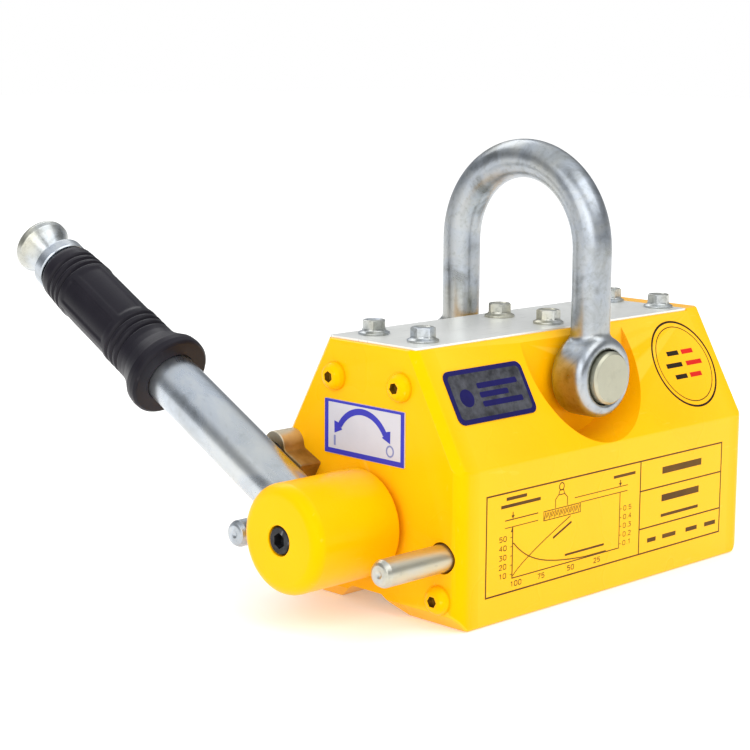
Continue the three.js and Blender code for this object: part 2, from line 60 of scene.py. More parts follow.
PIN_Z, PIN_R, PIN_HALF = 81.2, 10.0, 44.6
RECESS_R, RECESS_Z, RECESS_Y = 30.8, 88.0, 24.4
LEG_R, LEG_Y, ARC_Z = 7.375, 33.2, 128.0
EYE_R, EYE_Y0, EYE_Y1 = 15.5, 26.0, 42.0
EYE_M, EYE_H = (EYE_Y0 + EYE_Y1) / 2, (EYE_Y1 - EYE_Y0) / 2
BOLT_X, BOLT_Y = (-69.2, 0.0, 69.2), 12.5
SCREW_UP, SCREW_LOW = (16.8, 84.3), (36.5, 10.8)
LIMIT_Y, LIMIT_Z, LIMIT_TIP = 37.6, 26.2, -115.8
BLOCK_X = -94.6
CATCH_SCREW = (39.6, 53.2)
MM = 0.001


def half_w(z):
    return HALF_W if z <= SHOULDER_Z else HALF_W - SLOPE * (z - SHOULDER_Z)


# --------------------------------------------------------------------------
# node materials


class Nodes:
    """Small helper for building a node tree."""

    def __init__(self, name):
        self.m = bpy.data.materials.new(name)
        self.m.use_nodes = True
        self.t = self.m.node_tree
        self.t.nodes.clear()
        self.out = self.t.nodes.new("ShaderNodeOutputMaterial")
        self.p = self.t.nodes.new("ShaderNodeBsdfPrincipled")
        self.t.links.new(self.p.outputs[0], self.out.inputs[0])
        self.coord = self.t.nodes.new("ShaderNodeTexCoord")

    def new(self, kind, **values):
        n = self.t.nodes.new(kind)
        for k, v in values.items():
            setattr(n, k, v)
        return n

    def link(self, a, b):
        self.t.links.new(a, b)

    def mapping(self, scale=(1, 1, 1), rot=(0, 0, 0)):
        n = self.new("ShaderNodeMapping")
        n.inputs["Scale"].default_value = scale
        n.inputs["Rotation"].default_value = rot
        self.link(self.coord.outputs["Object"], n.inputs["Vector"])
        return n.outputs[0]

    def noise(self, scale, detail=3.0, rough=0.5, vec=None, distortion=0.0):
        n = self.new("ShaderNodeTexNoise")
        n.inputs["Scale"].default_value = scale
        n.inputs["Detail"].default_value = detail
        n.inputs["Roughness"].default_value = rough
        n.inputs["Distortion"].default_value = distortion
        self.link(vec or self.coord.outputs["Object"], n.inputs["Vector"])
        return n.outputs["Fac"]

    def voronoi(self, scale, vec=None, feature="F1"):
        n = self.new("ShaderNodeTexVoronoi", feature=feature)
        n.inputs["Scale"].default_value = scale
        self.link(vec or self.coord.outputs["Object"], n.inputs["Vector"])
        return n.outputs["Distance"]

    def ramp(self, fac, stops, interp="LINEAR"):
        n = self.new("ShaderNodeValToRGB")
        n.color_ramp.interpolation = interp
        e = n.color_ramp.elements
        while len(e) < len(stops):
            e.new(0.5)
        for i, (pos, c) in enumerate(stops):
            e[i].position = pos
            if not isinstance(c, (tuple, list)):
                c = (c, c, c)
            e[i].color = (*c[:3], 1)
        self.link(fac, n.inputs[0])
        return n.outputs[0]

    def mix(self, fac, a, b, mode="MIX"):
        n = self.new("ShaderNodeMix", data_type="RGBA", blend_type=mode)
        for sock, v in ((n.inputs[0], fac), (n.inputs[6], a), (n.inputs[7], b)):
            if isinstance(v, (int, float)):
                sock.default_value = v if sock is n.inputs[0] else (v, v, v, 1)
            elif isinstance(v, (tuple, list)):
                sock.default_value = (*v[:3], 1)
            else:
                self.link(v, sock)
        return n.outputs[2]

    def math(self, op, a, b=0.0, c=None, clamp=False):
        n = self.new("ShaderNodeMath", operation=op, use_clamp=clamp)
        for i, v in enumerate((a, b) if c is None else (a, b, c)):
            if isinstance(v, (int, float)):
                n.inputs[i].default_value = v
            else:
                self.link(v, n.inputs[i])
        return n.outputs[0]

    def xyz(self):
        n = self.new("ShaderNodeSeparateXYZ")
        self.link(self.coord.outputs["Object"], n.inputs[0])
        return n.outputs

    def pointiness(self):
        return self.new("ShaderNodeNewGeometry").outputs["Pointiness"]

    def bump(self, height, strength, distance):
        n = self.new("ShaderNodeBump")
        n.inputs["Strength"].default_value = strength
        n.inputs["Distance"].default_value = distance
        self.link(height, n.inputs["Height"])
        prev = getattr(self, "_bump", None)
        if prev is not None:
            self.link(prev, n.inputs["Normal"])
        self._bump = n.outputs[0]
        self.link(n.outputs[0], self.p.inputs["Normal"])
        return n.outputs[0]

    def set(self, **kw):
        names = {"color": "Base Color", "rough": "Roughness", "metal": "Metallic", "spec": "Specular IOR Level",
                 "coat": "Coat Weight", "coat_rough": "Coat Roughness", "aniso": "Anisotropic", "sheen": "Sheen Weight"}
        for k, v in kw.items():
            sock = self.p.inputs[names[k]]
            if isinstance(v, (int, float)):
                sock.default_value = v
            elif isinstance(v, (tuple, list)):
                sock.default_value = (*v[:3], 1)
            else:
                self.link(v, sock)
        return self


def paint(name, tint=1.0):
    """Gloss enamel: faint orange peel, slow colour drift, a painted highlight on the sharp edges and painted shade in
    the inner corners.
    """
    n = Nodes(name)
    drift = n.noise(22, 2)
    fine = n.noise(240, 4)
    base = n.ramp(drift, [(0.3, (0.95 * tint, 0.45 * tint, 0.0)), (0.7, (1.0 * tint, 0.49 * tint, 0.0006))])
    base = n.mix(n.ramp(fine, [(0.40, 0.0), (0.8, 0.16)]), base, (1.0, 0.52, 0.002))
    scuff = n.ramp(n.noise(1.0, 2, 0.6, n.mapping((60, 900, 240), (0.2, 0.1, 0.6))), [(0.69, 0.0), (0.74, 0.30)])
    base = n.mix(scuff, base, (1.0, 0.60, 0.06))
    point = n.pointiness()
    # painted highlight: sharp outer edges (high pointiness) are mixed toward pale yellow
    edge = n.ramp(point, [(0.53, 0.0), (0.62, 1.0)])
    # painted shade: inner corners and hollows (low pointiness) are mixed toward dark orange-brown
    corner = n.ramp(point, [(0.38, 1.0), (0.48, 0.0)])
    base = n.mix(n.math("MULTIPLY", edge, 0.35), base, (1.0, 0.62, 0.07))
    base = n.mix(n.math("MULTIPLY", corner, 0.40), base, (0.50, 0.17, 0.0))
    n.p.inputs["Specular Tint"].default_value = (1.0, 0.62, 0.04, 1)
    n.set(color=base, metal=0.0, spec=0.27, rough=n.math("MULTIPLY_ADD", drift, 0.16, 0.20))
    n.bump(n.noise(700, 2), 0.10, 0.00035)
    n.bump(n.noise(90, 2), 0.05, 0.0006)
    return n.m


def zinc(name, warm=0.45, rough=0.24, mottle=1.0, stretch=(1, 1, 1), dark=0.0, grain=(0.60, 0.74, 0.35), straw_from=0.50, tint=1.0):
    """Bright zinc plating: bluish-white with cloudy straw-coloured and grey patches, fine pits and hairlines."""
    n = Nodes(name)
    vec = n.mapping(stretch)
    cloud = n.noise(85, 5, 0.62, vec, 0.6)
    patch = n.noise(34, 3, 0.55, vec)
    speck = n.noise(520, 3, 0.6, vec)
    cool, grey, straw, pale, dull = (tuple(c * tint for c in q) for q in (
        (0.54, 0.585, 0.64), (0.37 - dark, 0.39 - dark, 0.40 - dark), (0.60, 0.57, 0.44), (0.62, 0.65, 0.67), (0.50, 0.53, 0.54)))
    base = n.ramp(cloud, [(0.30, grey), (0.48, cool), (0.62, pale), (0.78, dull)])
    base = n.mix(n.ramp(patch, [(straw_from, 0.0), (straw_from + 0.22, warm)]), base, straw)
    base = n.mix(n.ramp(speck, [(grain[0], 0.0), (grain[1], grain[2] * mottle)]), base, (0.23, 0.24, 0.21))
    n.set(color=base, metal=1.0, rough=n.math("MULTIPLY_ADD", cloud, 0.30, rough - 0.08, clamp=True))
    n.bump(speck, 0.10 * mottle, 0.0002)
    n.bump(cloud, 0.12 * mottle, 0.0004)
    return n.m


def turned(name, axis=1, color=(0.62, 0.62, 0.60), rough=0.32, rings=1500.0):
    """Turned or ground bare metal with fine machining rings about an axis (0, 1 or 2)."""
    n = Nodes(name)
    sc = [14.0, 14.0, 14.0]
    sc[axis] = rings
    lines = n.noise(1.0, 2, 0.5, n.mapping(tuple(sc)))
    cloud = n.noise(70, 4, 0.6)
    base = n.ramp(cloud, [(0.35, tuple(c * 0.86 for c in color)), (0.65, color)])
    base = n.mix(n.ramp(n.noise(300, 3), [(0.58, 0.0), (0.75, 0.3)]), base, tuple(c * 0.6 for c in color))
    n.set(color=base, metal=1.0, rough=n.math("MULTIPLY_ADD", cloud, 0.22, rough - 0.1, clamp=True))
    n.bump(lines, 0.16, 0.0002)
    return n.m


def sheet_metal(name):
    """Satin sheet: brushed along X with fine scratches and faint handling marks."""
    n = Nodes(name)
    brush = n.noise(1.0, 3, 0.6, n.mapping((20, 1400, 1400)))
    cloud = n.noise(30, 3, 0.5)
    scratch = n.noise(1.0, 1, 0.5, n.mapping((90, 1000, 200), (0, 0, 0.5)))
    base = n.ramp(cloud, [(0.3, (0.83, 0.84, 0.81)), (0.7, (0.93, 0.94, 0.91))])
    base = n.mix(n.ramp(scratch, [(0.66, 0.0), (0.72, 0.35)]), base, (0.50, 0.50, 0.49))
    n.set(color=base, metal=0.50, rough=n.math("MULTIPLY_ADD", brush, 0.12, 0.26, clamp=True))
    n.bump(brush, 0.03, 0.0001)
    return n.m


def passivated(name):
    """Yellow-brown passivated steel, lighter along the rounded top of the block."""
    n = Nodes(name)
    cloud = n.noise(120, 4, 0.6)
    tone = n.noise(40, 3, 0.5)
    base = n.ramp(cloud, [(0.32, (0.20, 0.135, 0.055)), (0.52, (0.34, 0.24, 0.11)), (0.72, (0.46, 0.36, 0.20))])
    base = n.mix(n.ramp(tone, [(0.45, 0.0), (0.7, 0.5)]), base, (0.40, 0.22, 0.06))
    # lighter colour on the top of the block, set by height (above about 58 mm) with a little noise
    z = n.xyz()[2]
    top_band = n.ramp(n.math("MULTIPLY_ADD", n.noise(160, 3), 0.004, n.math("MULTIPLY", z, 1.0)),
                  [(0.0595, 0.0), (0.0615, 0.75)])
    base = n.mix(top_band, base, (0.72, 0.66, 0.52))
    n.set(color=base, metal=0.85, rough=n.math("MULTIPLY_ADD", cloud, 0.3, 0.28, clamp=True))
    n.bump(n.noise(600, 3), 0.15, 0.0002)
    return n.m


def black_oxide(name):
    n = Nodes(name)
    cloud = n.noise(260, 4, 0.6)
    base = n.ramp(cloud, [(0.35, (0.010, 0.010, 0.012)), (0.70, (0.045, 0.045, 0.050))])
    # painted highlight: sharp edges are mixed toward grey, giving a light rim
    edge = n.ramp(n.pointiness(), [(0.53, 0.0), (0.62, 0.6)])
    base = n.mix(edge, base, (0.20, 0.20, 0.21))
    n.set(color=base, metal=0.6, rough=n.math("MULTIPLY_ADD", cloud, 0.2, 0.30, clamp=True))
    n.bump(n.noise(900, 2), 0.12, 0.0001)
    return n.m


def rubber(name):
    """Moulded black rubber: slight purple-grey bloom and a fine matt grain."""
    n = Nodes(name)
    bloom = n.noise(38, 3, 0.5)
    grain = n.noise(1500, 2, 0.5)
    base = n.ramp(bloom, [(0.30, (0.0055, 0.0048, 0.0085)), (0.72, (0.0125, 0.0105, 0.0165))])
    # painted highlight: sharp rib and flange edges are mixed toward a lighter grey
    edge = n.ramp(n.pointiness(), [(0.52, 0.0), (0.60, 0.5)])
    base = n.mix(edge, base, (0.026, 0.023, 0.030))
    n.set(color=base, metal=0.0, spec=0.20, rough=n.math("MULTIPLY_ADD", bloom, 0.22, 0.28, clamp=True))
    n.bump(grain, 0.22, 0.00012)
    return n.m


def plain_metal(name, color, rough, spread=0.12):
    n = Nodes(name)
    cloud = n.noise(90, 4, 0.6)
    base = n.ramp(cloud, [(0.3, tuple(c * (1 - spread) for c in color)), (0.7, tuple(min(1, c * (1 + spread)) for c in color))])
    n.set(color=base, metal=1.0, rough=n.math("MULTIPLY_ADD", cloud, 0.2, rough - 0.1, clamp=True))
    n.bump(n.noise(800, 2), 0.1, 0.0001)
    return n.m


def film(name, color, rough=0.3, var=0.06, metal=0.0, scale=60, spec=0.18):
    """Printed label film: slight ink density changes and a soft sheen."""
    n = Nodes(name)
    cloud = n.noise(scale, 4, 0.6)
    base = n.ramp(cloud, [(0.3, tuple(c * (1 - var) for c in color)), (0.7, tuple(min(1, c * (1 + var)) for c in color))])
    n.set(color=base, metal=metal, spec=spec, rough=n.math("MULTIPLY_ADD", cloud, 0.15, rough, clamp=True))
    n.bump(n.noise(500, 2), 0.06, 0.0001)
    return n.m


M = {
    "paint": paint("yellow_enamel"),
    "paint_hub": paint("yellow_enamel_hub", 1.0),
    "zinc": zinc("zinc_plating"),
    "zinc_tube": zinc("zinc_plating_tube", warm=0.35, rough=0.20, mottle=0.5, stretch=(1.0, 0.45, 0.45)),
    "zinc_knob": zinc("zinc_plating_knob", warm=0.75, rough=0.24, mottle=0.6, dark=0.08, grain=(0.52, 0.70, 0.5), straw_from=0.42),
    "zinc_forged": zinc("zinc_plating_forged", warm=0.5, rough=0.26, mottle=1.1, dark=0.04, grain=(0.52, 0.72, 0.34), tint=0.80),
    "zinc_bolt": zinc("zinc_plating_bolt", warm=0.9, rough=0.28, mottle=1.0, dark=0.16, grain=(0.48, 0.68, 0.5), straw_from=0.40),
    "zinc_pin": zinc("zinc_plating_pin", warm=1.0, rough=0.32, mottle=0.6, stretch=(0.5, 1, 1), straw_from=0.38),
    "turned_pin": turned("turned_steel_pin", 1, (0.56, 0.55, 0.43), 0.42),
    "steel": turned("bare_steel", 0, (0.56, 0.56, 0.56), 0.34),
    "sheet": sheet_metal("satin_sheet"),
    "brown": passivated("passivated_steel"),
    "black": black_oxide("black_oxide"),
    "rubber": rubber("grip_rubber"),
    "magnet": plain_metal("magnet_plating", (0.42, 0.43, 0.46), 0.26),
    "bronze": plain_metal("bronze", (0.66, 0.44, 0.18), 0.30),
    "stainless": plain_metal("stainless", (0.66, 0.67, 0.68), 0.28, 0.06),
    "white_film": film("label_white_film", (0.54, 0.54, 0.60), 0.10, 0.04, spec=0.5),
    "blue_ink": film("label_blue_ink", (0.040, 0.040, 0.42), 0.26, 0.14),
    "navy_ink": film("label_navy_ink", (0.008, 0.006, 0.085), 0.30, 0.25),
    "dark_field": film("label_dark_field", (0.062, 0.064, 0.074), 0.38, 0.55, 0.30, 260),
    "black_ink": film("print_black_ink", (0.020, 0.012, 0.004), 0.42, 0.3),
    "brown_ink": film("print_brown_ink", (0.105, 0.048, 0.003), 0.42, 0.3),
    "red_ink": film("print_red_ink", (0.60, 0.012, 0.004), 0.38, 0.12),
    "grey_ink": film("print_grey_ink", (0.20, 0.22, 0.42), 0.38, 0.15),
    # painted shade: dark brown-orange for the inside of the painted screws' hex sockets, the yellow paint as it looks
    # in shade
    "socket": film("screw_socket_painted_shade", (0.16, 0.075, 0.003), 0.6, 0.5, scale=400),
}

SLOT_MATERIAL = {
    "yellow_paint": "paint", "zinc_plate": "zinc", "satin_plate": "sheet", "turned_steel": "steel",
    "passivated_steel": "brown", "black_oxide": "black", "grip_rubber": "rubber", "magnet": "magnet",
    "bronze": "bronze", "stainless": "stainless", "label_white": "white_film", "label_dark": "dark_field",
}
NODE_SLOT = {s["node"]: s["material_slot"] for s in frame["record"]["subparts"]}
NODE_BODY = {n: b for b, ns in frame["record"]["behaviour"]["bodies"].items() for n in ns}
for node, obj in frame["nodes"].items():
    mat = M[SLOT_MATERIAL[NODE_SLOT[node]]]
    obj.data.materials.clear()
    obj.data.materials.append(mat)

# --------------------------------------------------------------------------
# mesh building


def mesh_from(name, verts, faces):
    m = bpy.data.meshes.new(name)
    m.from_pydata([tuple(float(c) * MM for c in v) for v in verts], [], [tuple(int(i) for i in f) for f in faces])
    m.validate()
    m.update()
    return m


def outward(m):
    bm = bmesh.new()
    bm.from_mesh(m)
    bmesh.ops.remove_doubles(bm, verts=bm.verts, dist=2e-7)
    bmesh.ops.recalc_face_normals(bm, faces=bm.faces)
    bm.to_mesh(m)
    bm.free()
    m.update()
    return m


def link(name, m):
    o = bpy.data.objects.new(name, m)
    bpy.context.scene.collection.objects.link(o)
    return o


def bake(o):
    """Applies all modifiers of o into its mesh."""
    bpy.context.view_layer.update()
    dg = bpy.context.evaluated_depsgraph_get()
    new = bpy.data.meshes.new_from_object(o.evaluated_get(dg))
    old = o.data
    o.modifiers.clear()
    o.data = new
    if old.users == 0:
        bpy.data.meshes.remove(old)
    return o


def drop(*objs):
    for o in objs:
        m = o.data
        bpy.data.objects.remove(o)
        if m and m.users == 0:
            bpy.data.meshes.remove(m)


def boolean(o, cutters, op="DIFFERENCE"):
    for c in cutters:
        md = o.modifiers.new("b", "BOOLEAN")
        md.operation, md.solver, md.object = op, "EXACT", c
        bake(o)
    drop(*cutters)
    return o


def tidy_flat(o, angle=0.6):
    bm = bmesh.new()
    bm.from_mesh(o.data)
    bmesh.ops.remove_doubles(bm, verts=bm.verts, dist=1e-6)
    bmesh.ops.dissolve_limit(bm, angle_limit=math.radians(angle), verts=bm.verts, edges=bm.edges)
    bm.to_mesh(o.data)
    bm.free()
    return o


def bevel_edges(o, width, segments=3, angle=32.0, keep=None, profile=0.5, scale=None):
    """Rounds the sharp edges of o. keep(a, b) says which edges (in mm) are rounded; scale(a, b) gives their share of width."""
    bm = bmesh.new()
    bm.from_mesh(o.data)
    lay = bm.edges.layers.float.get("bevel_weight_edge") or bm.edges.layers.float.new("bevel_weight_edge")
    for e in bm.edges:
        w = 0.0
        if len(e.link_faces) == 2 and e.calc_face_angle(0) > math.radians(angle):
            a, b = e.verts[0].co / MM, e.verts[1].co / MM
            if keep is None or keep(a, b):
                w = 1.0 if scale is None else scale(a, b)
        e[lay] = w
    bm.to_mesh(o.data)
    bm.free()
    md = o.modifiers.new("bev", "BEVEL")
    md.limit_method, md.width, md.segments, md.profile = "WEIGHT", width * MM, segments, profile
    md.use_clamp_overlap, md.miter_outer, md.harden_normals = True, "MITER_ARC", False
    bake(o)
    return o


def shade(o, angle=28.0):
    m = o.data
    m.polygons.foreach_set("use_smooth", [True] * len(m.polygons))
    m.set_sharp_from_angle(angle=math.radians(angle))
    return o


def weighted(o):
    md = o.modifiers.new("wn", "WEIGHTED_NORMAL")
    md.keep_sharp, md.weight = True, 60
    return o


def finish_piece(o, body, nodes=(), mats=(), sharp=28.0, weight=True):
    o.data.materials.clear()
    for k in mats:
        o.data.materials.append(M[k])
    shade(o, sharp)
    if weight:
        weighted(o)
    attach(o, body)
    if nodes:
        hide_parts(*nodes)
    return o


def fillet(points, n=5):
    """points: (x, y) or (x, y, radius). Returns the polyline with its corners rounded."""
    out = []
    for i, p in enumerate(points):
        r = p[2] if len(p) > 2 else 0.0
        if r <= 0 or i in (0, len(points) - 1):
            out.append((p[0], p[1]))
            continue
        a, b, c = (Vector(q[:2]) for q in (points[i - 1], p, points[i + 1]))
        u, v = (a - b), (c - b)
        lu, lv = u.length, v.length
        u, v = u.normalized(), v.normalized()
        ang = math.acos(max(-1, min(1, u.dot(v))))
        if ang > math.pi - 0.02:
            out.append((p[0], p[1]))
            continue
        t = min(r / math.tan(ang / 2), lu * 0.49, lv * 0.49)
        r = t * math.tan(ang / 2)
        centre = b + (u + v).normalized() * (r / math.sin(ang / 2))
        s, e = b + u * t - centre, b + v * t - centre
        a0, a1 = math.atan2(s.y, s.x), math.atan2(e.y, e.x)
        d = (a1 - a0 + math.pi) % (2 * math.pi) - math.pi
        for k in range(n + 1):
            q = a0 + d * k / n
            out.append((centre.x + r * math.cos(q), centre.y + r * math.sin(q)))
    return out


def round_poly(points, n=4):
    """A closed polygon with rounded corners: points (x, y, radius)."""
    m = len(points)
    out = []
    for i in range(m):
        trio = [points[i - 1], points[i], points[(i + 1) % m]]
        got = fillet([(trio[0][0], trio[0][1]), trio[1], (trio[2][0], trio[2][1])], n)
        out.extend(got[1:-1])
    return out


class Axis:
    """A frame for turned shapes: origin, direction along, and two cross directions (all mm)."""

    def __init__(self, origin, along, side):
        self.o = Vector(origin)
        self.d = Vector(along).normalized()
        self.u = Vector(side).normalized()
        self.v = self.d.cross(self.u)

    def at(self, r, s, a):
        return self.o + self.d * s + self.u * (r * math.cos(a)) + self.v * (r * math.sin(a))


AX = lambda y=0.0, z=0.0: Axis((0, y, z), (1, 0, 0), (0, 1, 0))
AY = lambda x=0.0, z=0.0: Axis((x, 0, z), (0, 1, 0), (1, 0, 0))
AZ = lambda x=0.0, y=0.0: Axis((x, y, 0), (0, 0, 1), (1, 0, 0))
TH = math.radians(LEVER_DEG)
LEV_D = Vector((0, math.cos(TH), math.sin(TH)))
LEVER = Axis((LEVER_X, 0, AXIS_Z), LEV_D, (1, 0, 0))
HUBAX = Axis((0, 0, AXIS_Z), (1, 0, 0), LEV_D)


def lathe(name, axis, profile, seg=64, closed=False):
    """profile: (radius, distance along). Open profiles start and end on the axis (radius 0)."""
    verts, faces, rings = [], [], []
    for r, s in profile:
        if r < 1e-6:
            rings.append([len(verts)])
            verts.append(axis.at(0, s, 0))
        else:
            rings.append(list(range(len(verts), len(verts) + seg)))
            verts.extend(axis.at(r, s, 2 * math.pi * k / seg) for k in range(seg))
    pairs = list(zip(rings, rings[1:]))
    if closed:
        pairs.append((rings[-1], rings[0]))
    for a, b in pairs:
        for k in range(seg):
            k2 = (k + 1) % seg
            if len(a) == 1 and len(b) == 1:
                continue
            if len(a) == 1:
                faces.append((a[0], b[k], b[k2]))
            elif len(b) == 1:
                faces.append((a[k], b[0], a[k2]))
            else:
                faces.append((a[k], b[k], b[k2], a[k2]))
    return link(name, outward(mesh_from(name, verts, faces)))


def bar(axis, r, s0, s1, seg=48, name="cutter"):
    verts = [axis.at(r, s, 2 * math.pi * k / seg) for s in (s0, s1) for k in range(seg)]
    faces = [tuple(range(seg)), tuple(range(seg, 2 * seg))]
    faces += [(k, (k + 1) % seg, seg + (k + 1) % seg, seg + k) for k in range(seg)]
    return link(name, outward(mesh_from(name, verts, faces)))


def block(x0, x1, y0, y1, z0, z1, name="cutter"):
    v = [(x, y, z) for x in (x0, x1) for y in (y0, y1) for z in (z0, z1)]
    f = [(0, 1, 3, 2), (4, 6, 7, 5), (0, 4, 5, 1), (2, 3, 7, 6), (0, 2, 6, 4), (1, 5, 7, 3)]
    return link(name, outward(mesh_from(name, v, f)))


def prism(name, pts, to3d, t0, t1):
    """A closed outline pts (2D) carried from t0 to t1 by to3d(a, b, t)."""
    n = len(pts)
    v = [to3d(a, b, t) for t in (t0, t1) for a, b in pts]
    f = [tuple(range(n)), tuple(range(n, 2 * n))] + [(i, (i + 1) % n, n + (i + 1) % n, n + i) for i in range(n)]
    return link(name, outward(mesh_from(name, v, f)))


# --------------------------------------------------------------------------
# body: a section whose lines can be set in, so the end covers taper like the real castings

# lines of the section, anticlockwise seen from +X: (point, direction) in (y, z)
SECTION = [(46, 0), (46, SHOULDER_Z), (half_w(BODY_TOP), BODY_TOP), (-half_w(BODY_TOP), BODY_TOP), (-46, SHOULDER_Z),
           (-46, 0), (-18, 0), (-7.5, 6.5), (7.5, 6.5), (18, 0)]
RADII = [1.0, 3.0, 0.9, 0.9, 3.0, 1.0, 0.6, 0.6, 0.6, 0.6]
# which edge each line is: right side, right slope, top, left slope, left side, foot, groove, roof, groove, foot
KINDS = ["side", "slope", "top", "slope", "side", "foot", "groove", "roof", "groove", "foot"]


def section(inset, top=BODY_TOP, n=5):
    """The body outline with each kind of line moved in by inset[kind]; corners rounded."""
    pts = [Vector(p) for p in SECTION]
    dt = top - BODY_TOP
    pts[2] = Vector((half_w(top), top))
    pts[3] = Vector((-half_w(top), top))
    m = len(pts)
    lines = []
    for i in range(m):
        a, b = pts[i], pts[(i + 1) % m]
        d = (b - a).normalized()
        nrm = Vector((-d.y, d.x))
        lines.append((a + nrm * inset.get(KINDS[i], 0.0), d))
    corners = []
    for i in range(m):
        (p, d), (q, e) = lines[i - 1], lines[i]
        den = d.x * e.y - d.y * e.x
        t = ((q.x - p.x) * e.y - (q.y - p.y) * e.x) / den
        x = p + d * t
        corners.append((x.x, x.y, RADII[i]))
    return round_poly(corners, n)


def loft(name, rings):
    """rings: list of (x, [(y, z), ...]) with equal counts."""
    n = len(rings[0][1])
    v = [(x, y, z) for x, pts in rings for y, z in pts]
    f = [tuple(range(n)), tuple(range((len(rings) - 1) * n, len(rings) * n))]
    for k in range(len(rings) - 1):
        a, b = k * n, (k + 1) * n
        f += [(a + i, a + (i + 1) % n, b + (i + 1) % n, b + i) for i in range(n)]
    return link(name, outward(mesh_from(name, v, f)))


def cover_rings(sign, top):
    """End cover from the pole joint to the outer face: rounded vertical corners, flat chamfers on the slopes,
    a small edge over the top and a long chamfer under the foot."""
    rings = [(0.0, {})]
    rings.append((4.4, {}))
    for t in (0.0, 0.16, 0.32, 0.5, 0.68, 0.84, 0.94, 1.0):
        x = 4.5 + 5.5 * t
        ins = {}
        # vertical corner: round, radius 5
        d = max(0.0, x - 5.0)
        ins["side"] = 5.0 - math.sqrt(max(0.0, 25.0 - d * d)) if d < 5.0 else 5.0
        ins["side"] = min(ins["side"], 4.2)
        # slope: flat chamfer 3 mm with eased ends
        c = max(0.0, x - 7.1)
        ins["slope"] = 0.12 * max(0.0, min(1.0, (x - 6.7) / 0.5)) + c * 1.0
        e = max(0.0, x - 8.9)
        ins["top"] = 1.1 - math.sqrt(max(0.0, 1.21 - e * e))
        f = max(0.0, x - 5.2)
        ins["foot"] = f * 1.12
        ins["groove"] = 0.35 * max(0.0, x - 8.8)
        ins["roof"] = 0.35 * max(0.0, x - 8.8)
        rings.append((x, ins))
    out = []
    for x, ins in rings:
        out.append((sign * (POLE_X + x), section(ins, top)))
    return out


def on_seam(a, b):
    return min(abs(abs(a.x) - POLE_X), 9) < 0.02 and min(abs(abs(b.x) - POLE_X), 9) < 0.02


def make_cover(sign):
    name = "end_cover_front" if sign < 0 else "end_cover_rear"
    top = BODY_TOP if sign < 0 else PLATE_TOP
    o = loft(name + "_shell", cover_rings(sign, top))
    x0, x1 = (-HALF_L - 2, -POLE_X + 2) if sign < 0 else (POLE_X - 2, HALF_L + 2)
    cuts = [bar(AX(s * y, z), 2.8, x0, x1, 24) for s in (-1, 1) for y, z in (SCREW_UP, SCREW_LOW)]
    if sign < 0:
        cuts += [bar(AX(0, AXIS_Z), 12, x0, x1, 64)]
        cuts += [bar(AX(s * LIMIT_Y, LIMIT_Z), 5.75, x0, x1, 48) for s in (-1, 1)]
        cuts += [bar(AX(*CATCH_SCREW), 2.5, x0, x1, 24)]
    else:
        cuts += [bar(AX(0, AXIS_Z), 12, POLE_X - 2, HALF_L - 2.5, 64)]
    boolean(o, cuts)
    tidy_flat(o)
    bevel_edges(o, 0.35, 2, 40, keep=lambda a, b: not on_seam(a, b) and abs(a.x) > POLE_X + 0.5)
    return finish_piece(o, "housing", [name], ["paint"])


def make_pole(s):
    name = "pole_block_near" if s < 0 else "pole_block_far"
    full = section({})
    half = [(y, z) for y, z in full if y * s >= 7.0]
    # order starts and ends beside the split line
    if s > 0:
        k = next(i for i, (y, z) in enumerate(half) if z < 6.6 and (half[i - 1][1] > 90))
        half = half[k:] + half[:k]
        pts = half + [(6.0, BODY_TOP), (6.0, 6.5)]
    else:
        k = next(i for i, (y, z) in enumerate(half) if z > 90 and (half[i - 1][1] < 7))
        half = half[k:] + half[:k]
        pts = half + [(-6.0, 6.5), (-6.0, BODY_TOP)]
    o = prism(name + "_body", pts, lambda a, b, t: (t, a, b), -POLE_X, POLE_X)
    cuts = [bar(AX(0, AXIS_Z), 23.6, -POLE_X - 2, POLE_X + 2, 96)]
    cuts += [bar(AY(0, RECESS_Z), RECESS_R, *((-60, -RECESS_Y) if s < 0 else (RECESS_Y, 60)), 128)]
    cuts += [bar(AY(0, PIN_Z), PIN_R + 0.3, -50, 50, 64)]
    cuts += [bar(AZ(x, s * BOLT_Y), 2.8, 91 if x == 0 else 87.9, 100, 24) for x in BOLT_X]
    for y, z in (SCREW_UP, SCREW_LOW):
        cuts += [bar(AX(s * y, z), 2.8, -HALF_L, -58, 24), bar(AX(s * y, z), 2.8, 58, HALF_L, 24)]
    cuts += [bar(AX(s * LIMIT_Y, LIMIT_Z), 5.3, -HALF_L, -58, 32)]
    if s > 0:
        cuts += [bar(AX(*CATCH_SCREW), 2.5, -HALF_L, -64, 24)]
    boolean(o, cuts)
    tidy_flat(o)

    def outer(a, b):
        if on_seam(a, b):
            return False
        m = (a + b) / 2
        return abs(m.y) > 20 or (m.z < 7 and abs(m.y) > 7)

    bevel_edges(o, 0.7, 3, 25, keep=outer)
    return finish_piece(o, "housing", [name], ["paint"], sharp=24)


make_cover(-1)
make_cover(1)
make_pole(-1)
make_pole(1)

# --------------------------------------------------------------------------
# top plate and its bolts
pl = prism("top_plate_sheet", round_poly([(-82.8, -22.4, 1.6), (POLE_X, -22.4, 0.3), (POLE_X, 22.4, 0.3), (-82.8, 22.4, 1.6)], 5),
           lambda a, b, t: (a, b, t), BODY_TOP, PLATE_TOP)
boolean(pl, [bar(AZ(x, s * BOLT_Y), 2.8, 95, 101, 24) for x in BOLT_X for s in (-1, 1)])
bevel_edges(pl, 0.18, 2, 40)
finish_piece(pl, "housing", ["top_plate"], ["sheet"])


